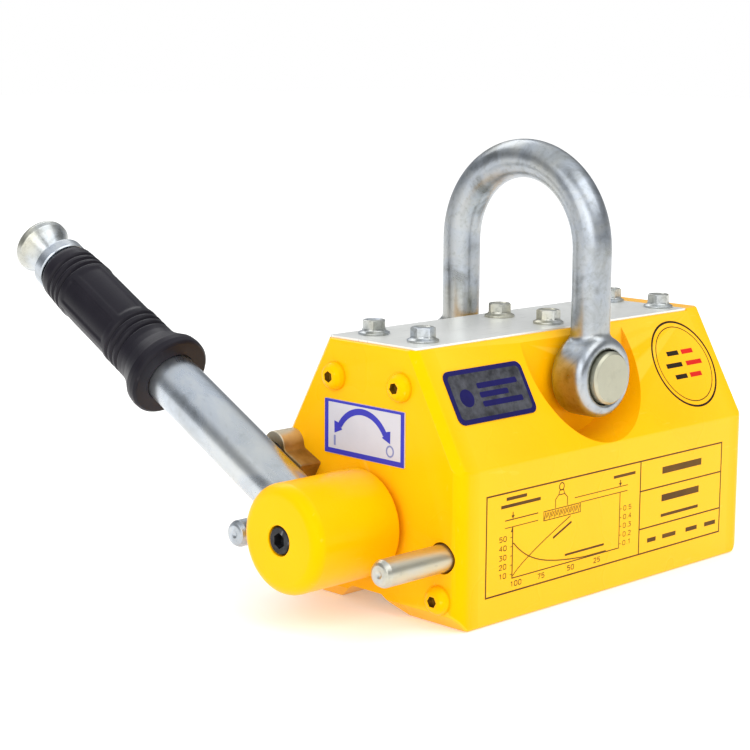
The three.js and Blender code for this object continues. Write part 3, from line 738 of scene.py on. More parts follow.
def bolt_mesh():
    """M5 hexagon flange bolt, head up, seat at z = 0."""
    ax = AZ(0, 0)
    hexr = 8 / math.sqrt(3)
    hexo = bar(ax, hexr, 0.6, 5.4, 6, "hex")
    crown = lathe("crown", ax, fillet([(0, 5.15), (2.4, 5.15, 0.2), (2.85, 5.4, 0.3), (3.95, 5.4, 0.4), (5.2, 4.55, 0.3), (5.6, 0.0), (0, 0.0)], 3), 64)
    boolean(hexo, [crown], "INTERSECT")
    tidy_flat(hexo)
    bevel_edges(hexo, 0.16, 2, 25)
    flange = lathe("bolt", ax, fillet([(0, -10.4), (2.2, -10.4, 0.3), (2.5, -9.8), (2.5, 0.0), (5.7, 0.0, 0.1), (5.9, 0.25, 0.2), (5.9, 0.75, 0.3),
                                       (4.45, 1.5, 0.7), (4.35, 2.2), (0, 2.2)], 4), 64)
    boolean(flange, [hexo], "UNION")
    shade(flange, 30)
    flange.data.materials.clear()
    flange.data.materials.append(M["zinc_bolt"])
    return flange


BOLT = bolt_mesh()
n_bolt = 0
for tag, x in zip(("front", "middle", "rear"), BOLT_X):
    for side, s in (("near", -1), ("far", 1)):
        m = BOLT.data.copy()
        turn = math.radians((17, 41, 8, 52, 29, 3)[n_bolt])
        if x == 0:  # the middle pair are short, above the shackle pin
            for v in m.vertices:
                if v.co.z < 0:
                    v.co.z *= 6.6 / 10.4
        m.transform(Matrix.Translation(Vector((x, s * BOLT_Y, PLATE_TOP)) * MM) @ Matrix.Rotation(turn, 4, "Z"))
        o = link(f"hex_flange_bolt_{tag}_{side}", m)
        finish_piece(o, "housing", [f"top_plate_bolt_{tag}_{side}"], ["zinc_bolt"], 30)
        n_bolt += 1
drop(BOLT)


# --------------------------------------------------------------------------
# end cover screws: painted button heads with hexagon sockets
def screw_mesh():
    ax = AX(0, 0)
    o = lathe("screw", ax, fillet([(0, -24.6), (2.2, -24.6, 0.2), (2.5, -24.0), (2.5, 0.0), (5.1, 0.0, 0.1), (5.25, 0.2, 0.1), (5.25, 1.1, 0.5),
                                   (4.75, 2.5, 1.6), (3.6, 3.55, 1.2), (2.6, 3.9, 0.2), (0, 3.9)], 5), 64)
    boolean(o, [bar(ax, 3.7 / math.sqrt(3), 1.7, 6, 6)])
    bevel_edges(o, 0.12, 2, 50, keep=lambda a, b: a.x > 3.0)
    o.data.materials.clear()
    o.data.materials.append(M["paint"])
    o.data.materials.append(M["socket"])
    # painted shade: the faces inside each hex socket take the dark socket material
    for f in o.data.polygons:
        c = f.center / MM
        if math.hypot(c.y, c.z) < 2.16 and c.x > 1.5 and c.x < 3.80:
            f.material_index = 1
    return o


SCREW = screw_mesh()
k_turn = 0
for end, sx in (("front", -1), ("rear", 1)):
    for level, (y, z) in (("upper", SCREW_UP), ("lower", SCREW_LOW)):
        for side, s in (("near", -1), ("far", 1)):
            m = SCREW.data.copy()
            turn = Matrix.Rotation(math.radians(13 + 23 * k_turn), 4, "X")
            flip = Matrix.Rotation(math.pi, 4, "Z") if sx < 0 else Matrix.Identity(4)
            m.transform(Matrix.Translation(Vector((sx * HALF_L, s * y, z)) * MM) @ flip @ turn)
            o = link(f"button_head_screw_{end}_{level}_{side}", m)
            shade(o, 30)
            weighted(o)
            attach(o, "housing")
            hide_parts(f"{end}_cover_screw_{level}_{side}")
            k_turn += 1
drop(SCREW)

# --------------------------------------------------------------------------
# limit pins
for tag, s in (("on", 1), ("off", -1)):
    t = LIMIT_TIP
    prof = fillet([(0, -60), (4.6, -60, 0.2), (5.0, -60.5), (5.0, t + 1.9, 1.0), (4.2, t + 0.35, 0.6), (3.2, t, 0.4), (1.5, t, 0.5),
                   (0.7, t + 0.35, 0.5), (0, t + 0.42)], 5)
    o = lathe(f"stop_pin_{tag}", AX(s * LIMIT_Y, LIMIT_Z), prof, 64)
    finish_piece(o, "housing", [f"limit_pin_{tag}"], ["zinc_pin"], 35)

# safety catch block and its countersunk screw
arc = lambda cx, cy, r, a0, a1, n: [(cx + r * math.cos(math.radians(a0 + (a1 - a0) * i / n)), cy + r * math.sin(math.radians(a0 + (a1 - a0) * i / n))) for i in range(n + 1)]
cb = [(24.4, 50.8, 0.7), (28.4, 43.9, 0.8), (43.2, 44.4, 1.0), (45, 50, 1.5)]
outline = round_poly(cb + [(x, y, 0) for x, y in arc(39.5, 56, 5.7, -14, 178, 28)] + [(33.2, 54.9, 1.5)], 5)
o = prism("catch_block", outline, lambda a, b, t: (t, a, b), BLOCK_X, -HALF_L)
boolean(o, [lathe("cs", AX(*CATCH_SCREW), [(0, -120), (8, -120), (4.6, BLOCK_X), (2.4, BLOCK_X + 3), (2.4, -60), (0, -60)], 48)])
bevel_edges(o, 0.55, 3, 35, keep=lambda a, b: (a.x + b.x) / 2 < -86)
finish_piece(o, "housing", ["safety_catch_block"], ["brown"], 30)
o = lathe("catch_screw", AX(*CATCH_SCREW), fillet([(0, BLOCK_X + 0.25), (3.9, BLOCK_X + 0.25, 0.2), (4.1, BLOCK_X + 0.5), (2.1, BLOCK_X + 2.9), (2.1, -66, 0.2), (0, -66)], 3), 48)
boolean(o, [bar(AX(*CATCH_SCREW), 2.5 / math.sqrt(3), BLOCK_X - 1, BLOCK_X + 1.9, 6)])
finish_piece(o, "housing", ["catch_block_screw"], ["black"], 30)

# --------------------------------------------------------------------------
# hub, its socket screw
f = 4.6
prof = fillet([(9.3, HUB_X0), (HUB_R - 0.1, HUB_X0, 0.6), (HUB_R, HUB_X1, f), (5.5, HUB_X1, 0.35), (5.5, HUB_X1 + 6.4), (3.4, HUB_X1 + 6.4), (3.4, HUB_X1 + 11.3), (9.3, HUB_X1 + 11.3)], 8)
o = lathe("lever_hub", HUBAX, prof, 128, closed=True)
boolean(o, [bar(LEVER, TUBE_R + 0.3, 10.9, 30, 64)])
bevel_edges(o, 0.6, 3, 30, keep=lambda a, b: (Vector((0, a.y, a.z - AXIS_Z)).length + Vector((0, b.y, b.z - AXIS_Z)).length) > 30 and -121 < a.x < -93)
finish_piece(o, "lever", ["hub"], ["paint_hub"], 30)

h = HUB_X1 + 0.2
prof = fillet([(0, h), (4.6, h, 0.15), (5.0, h + 0.5, 0.3), (5.0, h + 5.9, 0.1), (3.0, h + 5.9), (3.0, -102, 0.2), (0, -102)], 4)
o = lathe("socket_cap_screw", HUBAX, prof, 64)
boolean(o, [bar(HUBAX, 5.0 / math.sqrt(3), h - 1, h + 3.2, 6)])
bevel_edges(o, 0.18, 2, 45, keep=lambda a, b: a.x < h + 0.3 and b.x < h + 0.3)
finish_piece(o, "lever", ["hub_screw"], ["black"], 30)

# lever tube with its slot
o = lathe("lever_tube_bright", LEVER, fillet([(TUBE_RI, 11.2), (TUBE_R, 11.2), (TUBE_R, 172.0), (TUBE_RI, 172.0)], 1), 96, closed=True)
slot_cut = round_poly([(35.2, -3.2, 3.0), (52.8, -3.2, 3.0), (52.8, 3.2, 3.0), (35.2, 3.2, 3.0)], 6)
v_side = LEVER.v
cutter = prism("cutter", slot_cut, lambda a, b, t: LEVER.o + LEVER.d * a + LEVER.v * b + LEVER.u * t, 4, 12)
boolean(o, [cutter])
finish_piece(o, "lever", ["lever_tube"], ["zinc_tube"], 30)


# hand grip
def grip():
    seg = 144
    prof = fillet([(TUBE_R + 0.3, 95.5), (15.8, 95.5, 0.5), (16.8, 96.3, 0.9), (17.0, 98.4, 1.0), (16.7, 100.8, 1.4), (15.1, 103.8, 2.2), (13.5, 107.4, 3.5),
                   (12.9, 110.6, 3.0), (12.88, 112.2)], 6)
    body = []
    for s in np.arange(112.6, 168.8, 0.42):
        r = 12.88 - 0.95 * max(0.0, (s - 148) / 21) ** 1.6
        for g in (114.6, 118.0, 121.4, 157.8, 161.2, 164.6):
            d = abs(s - g)
            if d < 1.0:
                r -= 1.05 * (0.5 + 0.5 * math.cos(math.pi * d / 1.0)) ** 0.7
        body.append((r, s))
    tail = fillet([(11.9, 169.2), (11.6, 170.2, 1.0), (11.0, 171.3, 0.8), (TUBE_R + 0.3, 171.6)], 4)
    prof = prof + body + tail
    verts, faces = [], []
    for r, s in prof:
        for k in range(seg):
            a = 2 * math.pi * k / seg
            rr = r
            if 124.0 < s < 155.4 and r > 12:
                # six long flats with soft rounded ribs between them
                e = min(1.0, (s - 124.0) / 2.4, (155.4 - s) / 2.4)
                e = e * e * (3 - 2 * e)
                u = ((a + 0.30) / (2 * math.pi) * 6) % 1.0
                d = min(u, 1 - u) * 60.0
                w = min(1.0, max(0.0, (d - 5.0) / 4.5))
                rr -= 0.48 * e * w * w * (3 - 2 * w)
            verts.append(LEVER.at(rr, s, a))
    n = len(prof)
    for i in range(n):
        j = (i + 1) % n
        for k in range(seg):
            k2 = (k + 1) % seg
            faces.append((i * seg + k, j * seg + k, j * seg + k2, i * seg + k2))
    return link("rubber_grip", outward(mesh_from("rubber_grip", verts, faces)))


finish_piece(grip(), "lever", ["hand_grip"], ["rubber"], 50, weight=False)

# end plug and push button
prof = fillet([(6.3, 160), (7.7, 160), (7.7, 172.3), (10.9, 172.3, 0.3), (11.3, 172.9, 0.4), (11.35, 176.8, 0.9), (10.3, 177.8, 0.5), (8.6, 177.8, 0.3), (6.3, 173.6, 1.0)], 4)
o = lathe("end_plug_ring", LEVER, prof, 96, closed=True)
finish_piece(o, "lever", ["lever_end_plug"], ["zinc_tube"], 35)
prof = fillet([(0, 156.3), (7.5, 156.3, 0.3), (7.5, 159.7, 0.3), (6.0, 159.7), (6.0, 178.0, 4.0), (6.6, 180.8, 6.0), (8.2, 183.5, 8.0), (10.1, 186.3, 3.0), (11.45, 188.0, 1.2), (11.5, 190.2, 1.8),
               (10.4, 192.0, 1.6), (8.6, 192.6, 0.5), (7.6, 193.0, 0.5), (6.0, 193.2, 1.0), (0, 193.2)], 7)
o = lathe("knob_button", LEVER, prof, 96)
finish_piece(o, "button", ["push_button"], ["zinc_knob"], 45)


# return spring: round wire with one closed turn at each end; it shortens between the bush face and the button collar
def spring(seat=108.0, top=156.24, mean=5.2, wire=0.9, turns=8, steps=36, around=14):
    n = turns * steps
    t = (np.arange(n) + 0.5) / steps
    w = np.clip((t - 0.75) / 0.6, 0, 1) * np.clip((turns - 0.75 - t) / 0.6, 0, 1)
    w = w * w * (3 - 2 * w)
    closed = 2 * wire + 0.1
    span = top - seat - 2 * wire
    pitch = (span - closed * turns) / float(np.sum(w)) * steps
    s = seat + wire + np.concatenate([[0.0], np.cumsum((closed + pitch * w) / steps)])
    verts, faces = [], []
    for i in range(n + 1):
        a = 2 * math.pi * i / steps
        er = LEVER.u * math.cos(a) + LEVER.v * math.sin(a)
        et = LEVER.v * math.cos(a) - LEVER.u * math.sin(a)
        rise = (s[min(i + 1, n)] - s[max(i - 1, 0)]) / (min(i + 1, n) - max(i - 1, 0)) * steps / (2 * math.pi)
        tangent = (et * mean + LEVER.d * float(rise)).normalized()
        across = tangent.cross(er)
        c = LEVER.o + LEVER.d * float(s[i]) + er * mean
        for k in range(around):
            b = 2 * math.pi * k / around
            verts.append(c + er * (wire * math.cos(b)) + across * (wire * math.sin(b)))
    for i in range(n):
        for k in range(around):
            k2 = (k + 1) % around
            faces.append((i * around + k, i * around + k2, (i + 1) * around + k2, (i + 1) * around + k))
    faces.append(tuple(reversed(range(around))))
    faces.append(tuple(n * around + k for k in range(around)))
    return link("return_spring_coil", outward(mesh_from("return_spring_coil", verts, faces)))


o = finish_piece(spring(), "lever", ["return_spring"], ["steel"], 40, weight=False)
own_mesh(o)

# --------------------------------------------------------------------------
# shackle pin
prof = fillet([(0, -PIN_HALF), (PIN_R - 0.9, -PIN_HALF, 0.25), (PIN_R, -PIN_HALF + 0.9, 0.3), (PIN_R, PIN_HALF - 0.9, 0.3), (PIN_R - 0.9, PIN_HALF, 0.25), (0, PIN_HALF)], 4)
o = lathe("cross_pin", AY(0, PIN_Z), prof, 96)
finish_piece(o, "housing", ["shackle_pin"], ["turned_pin"], 35)


# shackle bow as a forged form: round bar blended into thick eyes
def smin(a, b, k):
    h = np.clip(0.5 + 0.5 * (b - a) / k, 0, 1)
    return b * (1 - h) + a * h - k * h * (1 - h)


def smax(a, b, k):
    return -smin(-a, -b, k)


def bow_field(x, y, z):
    ay = np.abs(y)
    straight = np.sqrt(x * x + (ay - LEG_Y) ** 2) - LEG_R
    below = np.sqrt(x * x + (ay - LEG_Y) ** 2 + np.minimum(z - PIN_Z, 0) ** 2) - LEG_R
    ring = np.sqrt(x * x + (np.sqrt(y * y + (z - ARC_Z) ** 2) - LEG_Y) ** 2) - LEG_R
    bow = np.where(z > ARC_Z, ring, np.where(z < PIN_Z, below, straight))
    rr = 3.4
    rad = np.sqrt(x * x + (z - PIN_Z) ** 2)
    q0 = rad - (EYE_R - rr)
    q1 = np.abs(ay - EYE_M) - (EYE_H - rr)
    eye = np.minimum(np.maximum(q0, q1), 0) + np.sqrt(np.maximum(q0, 0) ** 2 + np.maximum(q1, 0) ** 2) - rr
    d = smin(bow, eye, 1.7)
    hole = PIN_R + 0.55 - rad
    return np.where(z < ARC_Z - 15, smax(d, hole, 0.8), d)


def surface_nets(fn, lo, hi, h):
    lo, hi = np.array(lo, float), np.array(hi, float)
    n = np.ceil((hi - lo) / h).astype(int) + 1
    ax = [lo[i] + h * np.arange(n[i]) for i in range(3)]
    X, Y, Z = np.meshgrid(*ax, indexing="ij")
    V = fn(X, Y, Z)
    nc = n - 1
    pos = np.zeros(tuple(nc) + (3,))
    cnt = np.zeros(tuple(nc))
    for a in range(3):
        b, c = (a + 1) % 3, (a + 2) % 3
        for ob in (0, 1):
            for oc in (0, 1):
                off = [0, 0, 0]
                off[b], off[c] = ob, oc
                s0 = tuple(slice(off[i], off[i] + nc[i]) for i in range(3))
                off2 = list(off)
                off2[a] += 1
                s1 = tuple(slice(off2[i], off2[i] + nc[i]) for i in range(3))
                v0, v1 = V[s0], V[s1]
                cr = (v0 < 0) != (v1 < 0)
                t = np.where(cr, v0 / np.where(cr, v0 - v1, 1), 0)
                for i in range(3):
                    pos[..., i] += np.where(cr, off[i] + (t if i == a else 0), 0)
                cnt += cr
    has = cnt > 0
    index = -np.ones(tuple(nc), int)
    index[has] = np.arange(has.sum())
    p = pos[has] / cnt[has][:, None]
    base = np.argwhere(has)
    verts = lo + h * (base + p)
    faces = []
    S = V < 0
    for a in range(3):
        b, c = (a + 1) % 3, (a + 2) % 3
        s0 = [slice(1, n[i] - 1) for i in range(3)]
        s0[a] = slice(0, n[a] - 1)
        s1 = list(s0)
        s1[a] = slice(1, n[a])
        A, B = S[tuple(s0)], S[tuple(s1)]
        cr = np.argwhere(A != B)
        inside = A[tuple(cr.T)]
        o = np.zeros(3, int)
        o[b], o[c] = 1, 1
        g = cr + o  # grid edge start

        def cell(db, dc):
            q = g.copy()
            q[:, b] -= db
            q[:, c] -= dc
            return index[tuple(q.T)]

        quad = np.stack([cell(1, 1), cell(0, 1), cell(0, 0), cell(1, 0)], 1)
        quad[~inside] = quad[~inside][:, ::-1]
        faces.append(quad)
    faces = np.concatenate(faces)
    e = 1e-3
    for _ in range(3):  # settle each vertex on the surface itself
        x, y, z = verts.T
        f0 = fn(x, y, z)
        g = np.stack([(fn(x + e, y, z) - fn(x - e, y, z)), (fn(x, y + e, z) - fn(x, y - e, z)), (fn(x, y, z + e) - fn(x, y, z - e))], 1) / (2 * e)
        verts = verts - (np.clip(f0, -h, h) / np.maximum((g * g).sum(1), 0.2))[:, None] * g
    return verts, faces


step = 0.8
v, f4 = surface_nets(bow_field, (-18.2, -43, 62.6), (18.2, 43, 171), step)
m = bpy.data.meshes.new("forged_bow")
m.from_pydata((v * MM).tolist(), [], f4.tolist())
m.validate()
outward(m)
o = link("forged_bow", m)
finish_piece(o, "shackle", ["shackle_bow"], ["zinc_forged"], 60, weight=False)

# --------------------------------------------------------------------------
# labels and prints


class Plane:
    """A flat print area: origin, right and up directions, and the outward normal (mm)."""

    def __init__(self, origin, right, up):
        self.o, self.r, self.u = Vector(origin), Vector(right).normalized(), Vector(up).normalized()
        self.n = self.r.cross(self.u)

    def at(self, a, b, h=0.0):
        return self.o + self.r * a + self.u * b + self.n * h


class Print:
    """Flat printed shapes gathered into one mesh, each layer a thin film with its own height."""

    def __init__(self, plane, thick=0.03):
        self.p, self.v, self.f, self.t = plane, [], [], thick

    def poly(self, pts, h):
        n, b = len(pts), len(self.v)
        area = sum(pts[i][0] * pts[(i + 1) % n][1] - pts[(i + 1) % n][0] * pts[i][1] for i in range(n))
        if area < 0:
            pts = pts[::-1]
        self.v += [self.p.at(x, y, h) for x, y in pts] + [self.p.at(x, y, h + self.t) for x, y in pts]
        self.f.append(tuple(b + i for i in reversed(range(n))))
        self.f.append(tuple(b + n + i for i in range(n)))
        self.f += [(b + i, b + (i + 1) % n, b + n + (i + 1) % n, b + n + i) for i in range(n)]

    def strip(self, pts, w, h, closed=False):
        """A line of width w through pts, as one ribbon."""
        pts = [Vector(p) for p in pts]
        n = len(pts)
        left, right = [], []
        for i in range(n):
            a = pts[i - 1] if (i > 0 or closed) else None
            c = pts[(i + 1) % n] if (i < n - 1 or closed) else None
            d = Vector((0, 0))
            if a is not None:
                d += (pts[i] - a).normalized()
            if c is not None:
                d += (c - pts[i]).normalized()
            d.normalize()
            k = 1.0
            if a is not None and c is not None:
                k = 1.0 / max(0.5, (pts[i] - a).normalized().dot(d))
            nn = Vector((-d.y, d.x)) * (w / 2 * k)
            left.append(pts[i] + nn)
            right.append(pts[i] - nn)
        b = len(self.v)
        self.v += [self.p.at(q.x, q.y, h) for q in left] + [self.p.at(q.x, q.y, h) for q in right]
        self.v += [self.p.at(q.x, q.y, h + self.t) for q in left] + [self.p.at(q.x, q.y, h + self.t) for q in right]
        L, R, LT, RT = b, b + n, b + 2 * n, b + 3 * n
        m = n if closed else n - 1
        for i in range(m):
            j = (i + 1) % n
            self.f += [(LT + i, RT + i, RT + j, LT + j), (L + i, L + j, R + j, R + i), (L + i, LT + i, LT + j, L + j), (R + i, R + j, RT + j, RT + i)]
        if not closed:
            self.f += [(L, R, RT, LT), (L + n - 1, LT + n - 1, RT + n - 1, R + n - 1)]

    def rect(self, x0, x1, y0, y1, h):
        self.poly([(x0, y0), (x1, y0), (x1, y1), (x0, y1)], h)

    def frame(self, x0, x1, y0, y1, w, h):
        self.rect(x0, x1, y0, y0 + w, h)
        self.rect(x0, x1, y1 - w, y1, h)
        self.rect(x0, x0 + w, y0 + w, y1 - w, h)
        self.rect(x1 - w, x1, y0 + w, y1 - w, h)

    def make(self, name, mat, body="housing", nodes=()):
        o = link(name, outward(mesh_from(name, self.v, self.f)))
        return finish_piece(o, body, nodes, [mat], 30, weight=False)


# label on the lever-end face: white film, blue border, double arrow, and the closed / open marks
END = Plane((-HALF_L, 0, 0), (0, -1, 0), (0, 0, 1))  # a = -y, b = z
pr = Print(END, 0.45)
pr.poly(round_poly([(-22, 55.4, 0.5), (19.2, 55.4, 0.5), (19.2, 75.7, 0.5), (-22, 75.7, 0.5)], 3), 0.05)
pr.make("lever_label_plate", "white_film", nodes=["lever_label"])
pr = Print(END)
pr.rect(-21.9, 19.1, 55.5, 57.4, 0.51)
pr.rect(-21.9, 19.1, 74.6, 75.6, 0.51)
pr.rect(-21.9, -20.0, 57.4, 74.6, 0.51)
pr.rect(17.3, 19.1, 57.4, 74.6, 0.51)
cx, cz, cr = -2.3, 59.2, 13.6
pr.strip([(cx + cr * math.cos(math.radians(a)), cz + cr * math.sin(math.radians(a))) for a in np.linspace(31, 149, 37)], 2.35, 0.51)
for sgn in (1, -1):
    pr.poly([(cx + sgn * 14.4, 63.2), (cx + sgn * 14.5, 67.8), (cx + sgn * 12.6, 67.4), (cx + sgn * 10.3, 64.9)], 0.545)
pr.make("lever_label_arrow", "blue_ink")
pr = Print(END)
pr.strip([(-16.6, 58.6), (-16.6, 62.4)], 1.0, 0.51)
pr.strip([(12.0 + 1.7 * math.cos(t), 60.5 + 1.9 * math.sin(t)) for t in np.linspace(0, 2 * math.pi, 29)[:-1]], 0.65, 0.51, closed=True)
pr.make("lever_label_marks", "grey_ink")

# dark plate on the near slope: navy border, mottled field, a plain disc and bars
ca, sa = math.cos(math.atan(SLOPE)), math.sin(math.atan(SLOPE))
z0 = 80.9
SLP = Plane((0, -half_w(z0), z0), (1, 0, 0), (0, sa, ca))  # b measured up the slope from z0
pr = Print(SLP, 0.3)
pr.poly(round_poly([(-76, -10.2, 3.0), (-34.6, -10.2, 3.0), (-34.6, 10.2, 3.0), (-76, 10.2, 3.0)], 6), 0.1)
pr.make("grade_plate_base", "navy_ink", nodes=["grade_label"])
pr = Print(SLP)
pr.poly(round_poly([(-74.2, -8.4, 1.8), (-36.4, -8.4, 1.8), (-36.4, 8.4, 1.8), (-74.2, 8.4, 1.8)], 6), 0.41)
pr.make("grade_plate_field", "dark_field")
pr = Print(SLP)
mx, my = -68.0, -0.6
pr.poly([(mx + 3.4 * math.cos(t), my + 3.4 * math.sin(t)) for t in np.linspace(0, 2 * math.pi, 41)[:-1]], 0.45)
for x_a, x_b, yb in ((-61.0, -39.8, 2.2), (-61.0, -46.0, -1.3), (-61.0, -39.8, -4.8)):
    pr.poly(round_poly([(x_a, yb, 0.6), (x_b, yb, 0.6), (x_b, yb + 2.1, 0.6), (x_a, yb + 2.1, 0.6)], 4), 0.45)
pr.make("grade_plate_marks", "navy_ink")

# ring mark on the near slope: two thin rings round three plain bars
rc, rb, rr_ = 59.2, -2.3, 18.1
pr = Print(SLP)
for radius, width in ((rr_, 0.85), (rr_ - 2.2, 0.35)):
    pr.strip([(rc + radius * math.cos(t), rb + radius * math.sin(t)) for t in np.linspace(0, 2 * math.pi, 97)[:-1]], width, 0.02, closed=True)
for half, yb in ((8.4, 5.0), (11.4, 0.0), (8.4, -5.0)):
    pr.strip([(rc - half, rb + yb), (rc - half * 0.12, rb + yb)], 1.9, 0.02)
pr.make("ring_mark", "black_ink")
pr = Print(SLP)
for half, yb in ((8.4, 5.0), (11.4, 0.0), (8.4, -5.0)):
    pr.strip([(rc + half * 0.12, rb + yb), (rc + half, rb + yb)], 1.9, 0.02)
pr.make("ring_mark_bars", "red_ink")

# load chart on the near side
SIDE = Plane((0, -HALF_W, 0), (1, 0, 0), (0, 0, 1))
x0, x1, b0, b1, xd = -71.1, 69.8, 10.2, 47.5, 16.9
H = 0.02
pr = Print(SIDE)
pr.frame(x0, x1, b0, b1, 0.6, H)
pr.rect(xd - 0.3, xd + 0.3, b0 + 0.6, b1 - 0.6, H)
for zz in (35.3, 20.3):
    pr.rect(xd + 0.3, x1 - 0.6, zz - 0.28, zz + 0.28, H)
AX0, AX1, AB = -56.8, 4.5, 15.2
pr.rect(AX0 - 0.25, AX0 + 0.25, AB, 34.2, H)
pr.rect(AX1 - 0.2, AX1 + 0.2, AB + 0.4, 37.0, H)
pr.rect(AX0 + 0.25, AX1 + 0.2, AB - 0.02, AB + 0.38, H)
pr.poly([(AX0 - 1.0, 32.4), (AX0 - 0.25, 32.4), (AX0 - 0.25, 34.2)], H)
pr.rect(-61.0, -43.0, 36.9, 37.3, H)
pr.rect(-61.0, AX0 - 0.3, 34.2, 34.5, H)
pr.rect(AX0 - 0.3, -43.0, 34.2, 34.5, H)
pr.rect(AX0 - 0.2, AX0 + 0.2, 37.6, 39.8, H)
pr.poly([(AX0 - 0.9, 38.6), (AX0, 37.35), (AX0 + 0.9, 38.6)], H + 0.035)
pr.rect(-22.4, 9.0, 39.2, 39.5, H)
pr.rect(-18.7, 9.0, 37.0, 37.3, H)
pr.rect(AX1 - 0.2, AX1 + 0.2, 39.9, 41.9, H)
pr.poly([(AX1 - 0.9, 40.8), (AX1, 39.55), (AX1 + 0.9, 40.8)], H + 0.035)
for k in range(5):
    zz = 16.9 + 3.4 * k
    pr.rect(AX0 - 1.2, AX0 - 0.3, zz - 0.12, zz + 0.12, H)
    pr.rect(AX1 + 0.3, AX1 + 1.2, zz - 0.12, zz + 0.12, H)
# the block with its hatching and the small lifter above it
pr.frame(-40.0, -18.8, 33.4, 37.1, 0.3, H)
for k in range(22):
    xa = -39.6 + 0.92 * k
    pr.strip([(xa, 33.9 + 0.3 * (k % 3)), (xa + 0.9, 36.6 - 0.25 * (k % 2))], 0.34, H)
pr.strip([(-33.4, 37.3), (-33.4, 40.4), (-31.8, 41.9), (-28.2, 41.9), (-26.6, 40.4), (-26.6, 37.3)], 0.32, H)
pr.strip([(-31.6, 42.1), (-31.0, 43.6), (-29.0, 43.6), (-28.4, 42.1)], 0.34, H)
pr.strip([(-30.0 + 1.35 * math.cos(t), 44.9 + 1.35 * math.sin(t)) for t in np.linspace(0, 2 * math.pi, 25)[:-1]], 0.4, H, closed=True)
# the two curves
xs = np.linspace(0.3, 32.2, 25)
pr.strip([(AX0 + x, AB + 0.55 + 17.2 * (x / 32.2) ** 0.80) for x in xs], 0.3, H + 0.035)
curve = [(AX0 + 0.4 + 1.0 * k, AB + 0.75 + 12.4 * math.exp(-k / 12.0) - 0.0045 * k * (1 if k < 46 else 1) - 0.020 * max(0, k - 22)) for k in range(0, 54)]
pr.strip([(x, max(y, AB + 0.62)) for x, y in curve], 0.36, H + 0.07)

# digits on the scales, drawn as strokes
PATHS = {
    "0": [[(0.25, 0), (0.75, 0), (1, 0.35), (1, 1.65), (0.75, 2), (0.25, 2), (0, 1.65), (0, 0.35), (0.25, 0)]],
    "1": [[(0.2, 1.6), (0.6, 2), (0.6, 0)]],
    "2": [[(0, 1.55), (0.2, 1.95), (0.75, 2), (1, 1.6), (0.9, 1.15), (0, 0), (1, 0)]],
    "3": [[(0, 1.95), (0.9, 1.95), (0.45, 1.2), (0.9, 1.0), (1, 0.5), (0.7, 0.05), (0, 0.05)]],
    "4": [[(0.75, 0), (0.75, 2), (0, 0.65), (1, 0.65)]],
    "5": [[(0.95, 2), (0.1, 2), (0.05, 1.1), (0.7, 1.2), (1, 0.85), (0.95, 0.3), (0.6, 0), (0, 0.1)]],
    "7": [[(0, 2), (1, 2), (0.4, 0)]],
    ".": [[(0.3, 0.0), (0.3, 0.28)]],
}


def number(pr, text, x, y, w, h, t):
    for ch in text:
        step = w * (0.45 if ch == "." else 1.0)
        for path in PATHS[ch]:
            pr.strip([(x + px * w * 0.66, y + py * h / 2) for px, py in path], t, H)
        x += step


for k in range(5):
    zz = 16.9 + 3.4 * k
    number(pr, str(10 * (k + 1)), -63.8, zz - 0.85, 2.2, 1.75, 0.30)
    number(pr, "0." + str(k + 1), 6.9, zz - 0.85, 2.2, 1.75, 0.26)
for text, xx in (("100", -57.6), ("75", -42.6), ("50", -25.8), ("25", -10.4)):
    number(pr, text, xx, 12.3, 2.2, 1.75, 0.30)
pr.make("load_chart", "brown_ink")

# plain bars where a real one carries words
pr = Print(SIDE)
bars = [(-60.4, -49.4, 44.3, 45.5), (-63.2, -41.8, 41.7, 42.9), (0.4, 13.6, 42.9, 44.0),
        (-34.0, -24.2, 27.0, 27.0), (-27.4, -4.6, 18.1, 18.9)]
for xa, xb, za, zb in bars:
    if zb > za:
        pr.rect(xa, xb, za, zb, H)
pr.strip([(-34.4, 26.2), (-24.0, 30.6)], 0.8, H)
pr.rect(30.6, 56.0, 40.2, 42.9, H)
pr.rect(30.6, 54.8, 29.2, 31.9, H)
pr.rect(30.4, 54.6, 23.0, 24.2, H)
pr.rect(22.2, 27.6, 14.2, 15.9, H)
for xa, xb in ((31.8, 40.4), (47.0, 54.4), (59.4, 66.8)):
    pr.rect(xa, xb, 14.2, 15.9, H)
pr.make("load_chart_bars", "brown_ink")

# --------------------------------------------------------------------------
# stage: plain pale floor, soft studio light, camera at the photograph's angle
world = bpy.data.worlds.new("studio")
bpy.context.scene.world = world
world.use_nodes = True
wt = world.node_tree
wt.nodes.clear()
if hasattr(world, "cycles"):
    world.cycles.sampling_method = "NONE"
w_out = wt.nodes.new("ShaderNodeOutputWorld")
w_soft = wt.nodes.new("ShaderNodeBackground")
w_gloss = wt.nodes.new("ShaderNodeBackground")
w_cam = wt.nodes.new("ShaderNodeBackground")
w_mix, w_mix2 = wt.nodes.new("ShaderNodeMixShader"), wt.nodes.new("ShaderNodeMixShader")
w_path = wt.nodes.new("ShaderNodeLightPath")
w_co = wt.nodes.new("ShaderNodeTexCoord")
w_sep = wt.nodes.new("ShaderNodeSeparateXYZ")
w_ramp = wt.nodes.new("ShaderNodeValToRGB")
wt.links.new(w_co.outputs["Generated"], w_sep.inputs[0])
wt.links.new(w_sep.outputs[2], w_ramp.inputs[0])
el = w_ramp.color_ramp.elements
while len(el) < 6:
    el.new(0.5)
for i, (p, c) in enumerate([(0.0, 0.52), (0.10, 0.44), (0.28, 0.24), (0.48, 0.38), (0.72, 0.78), (1.0, 0.92)]):
    el[i].position, el[i].color = p, (c * 0.97, c, c * 1.04, 1)
wt.links.new(w_ramp.outputs[0], w_gloss.inputs[0])
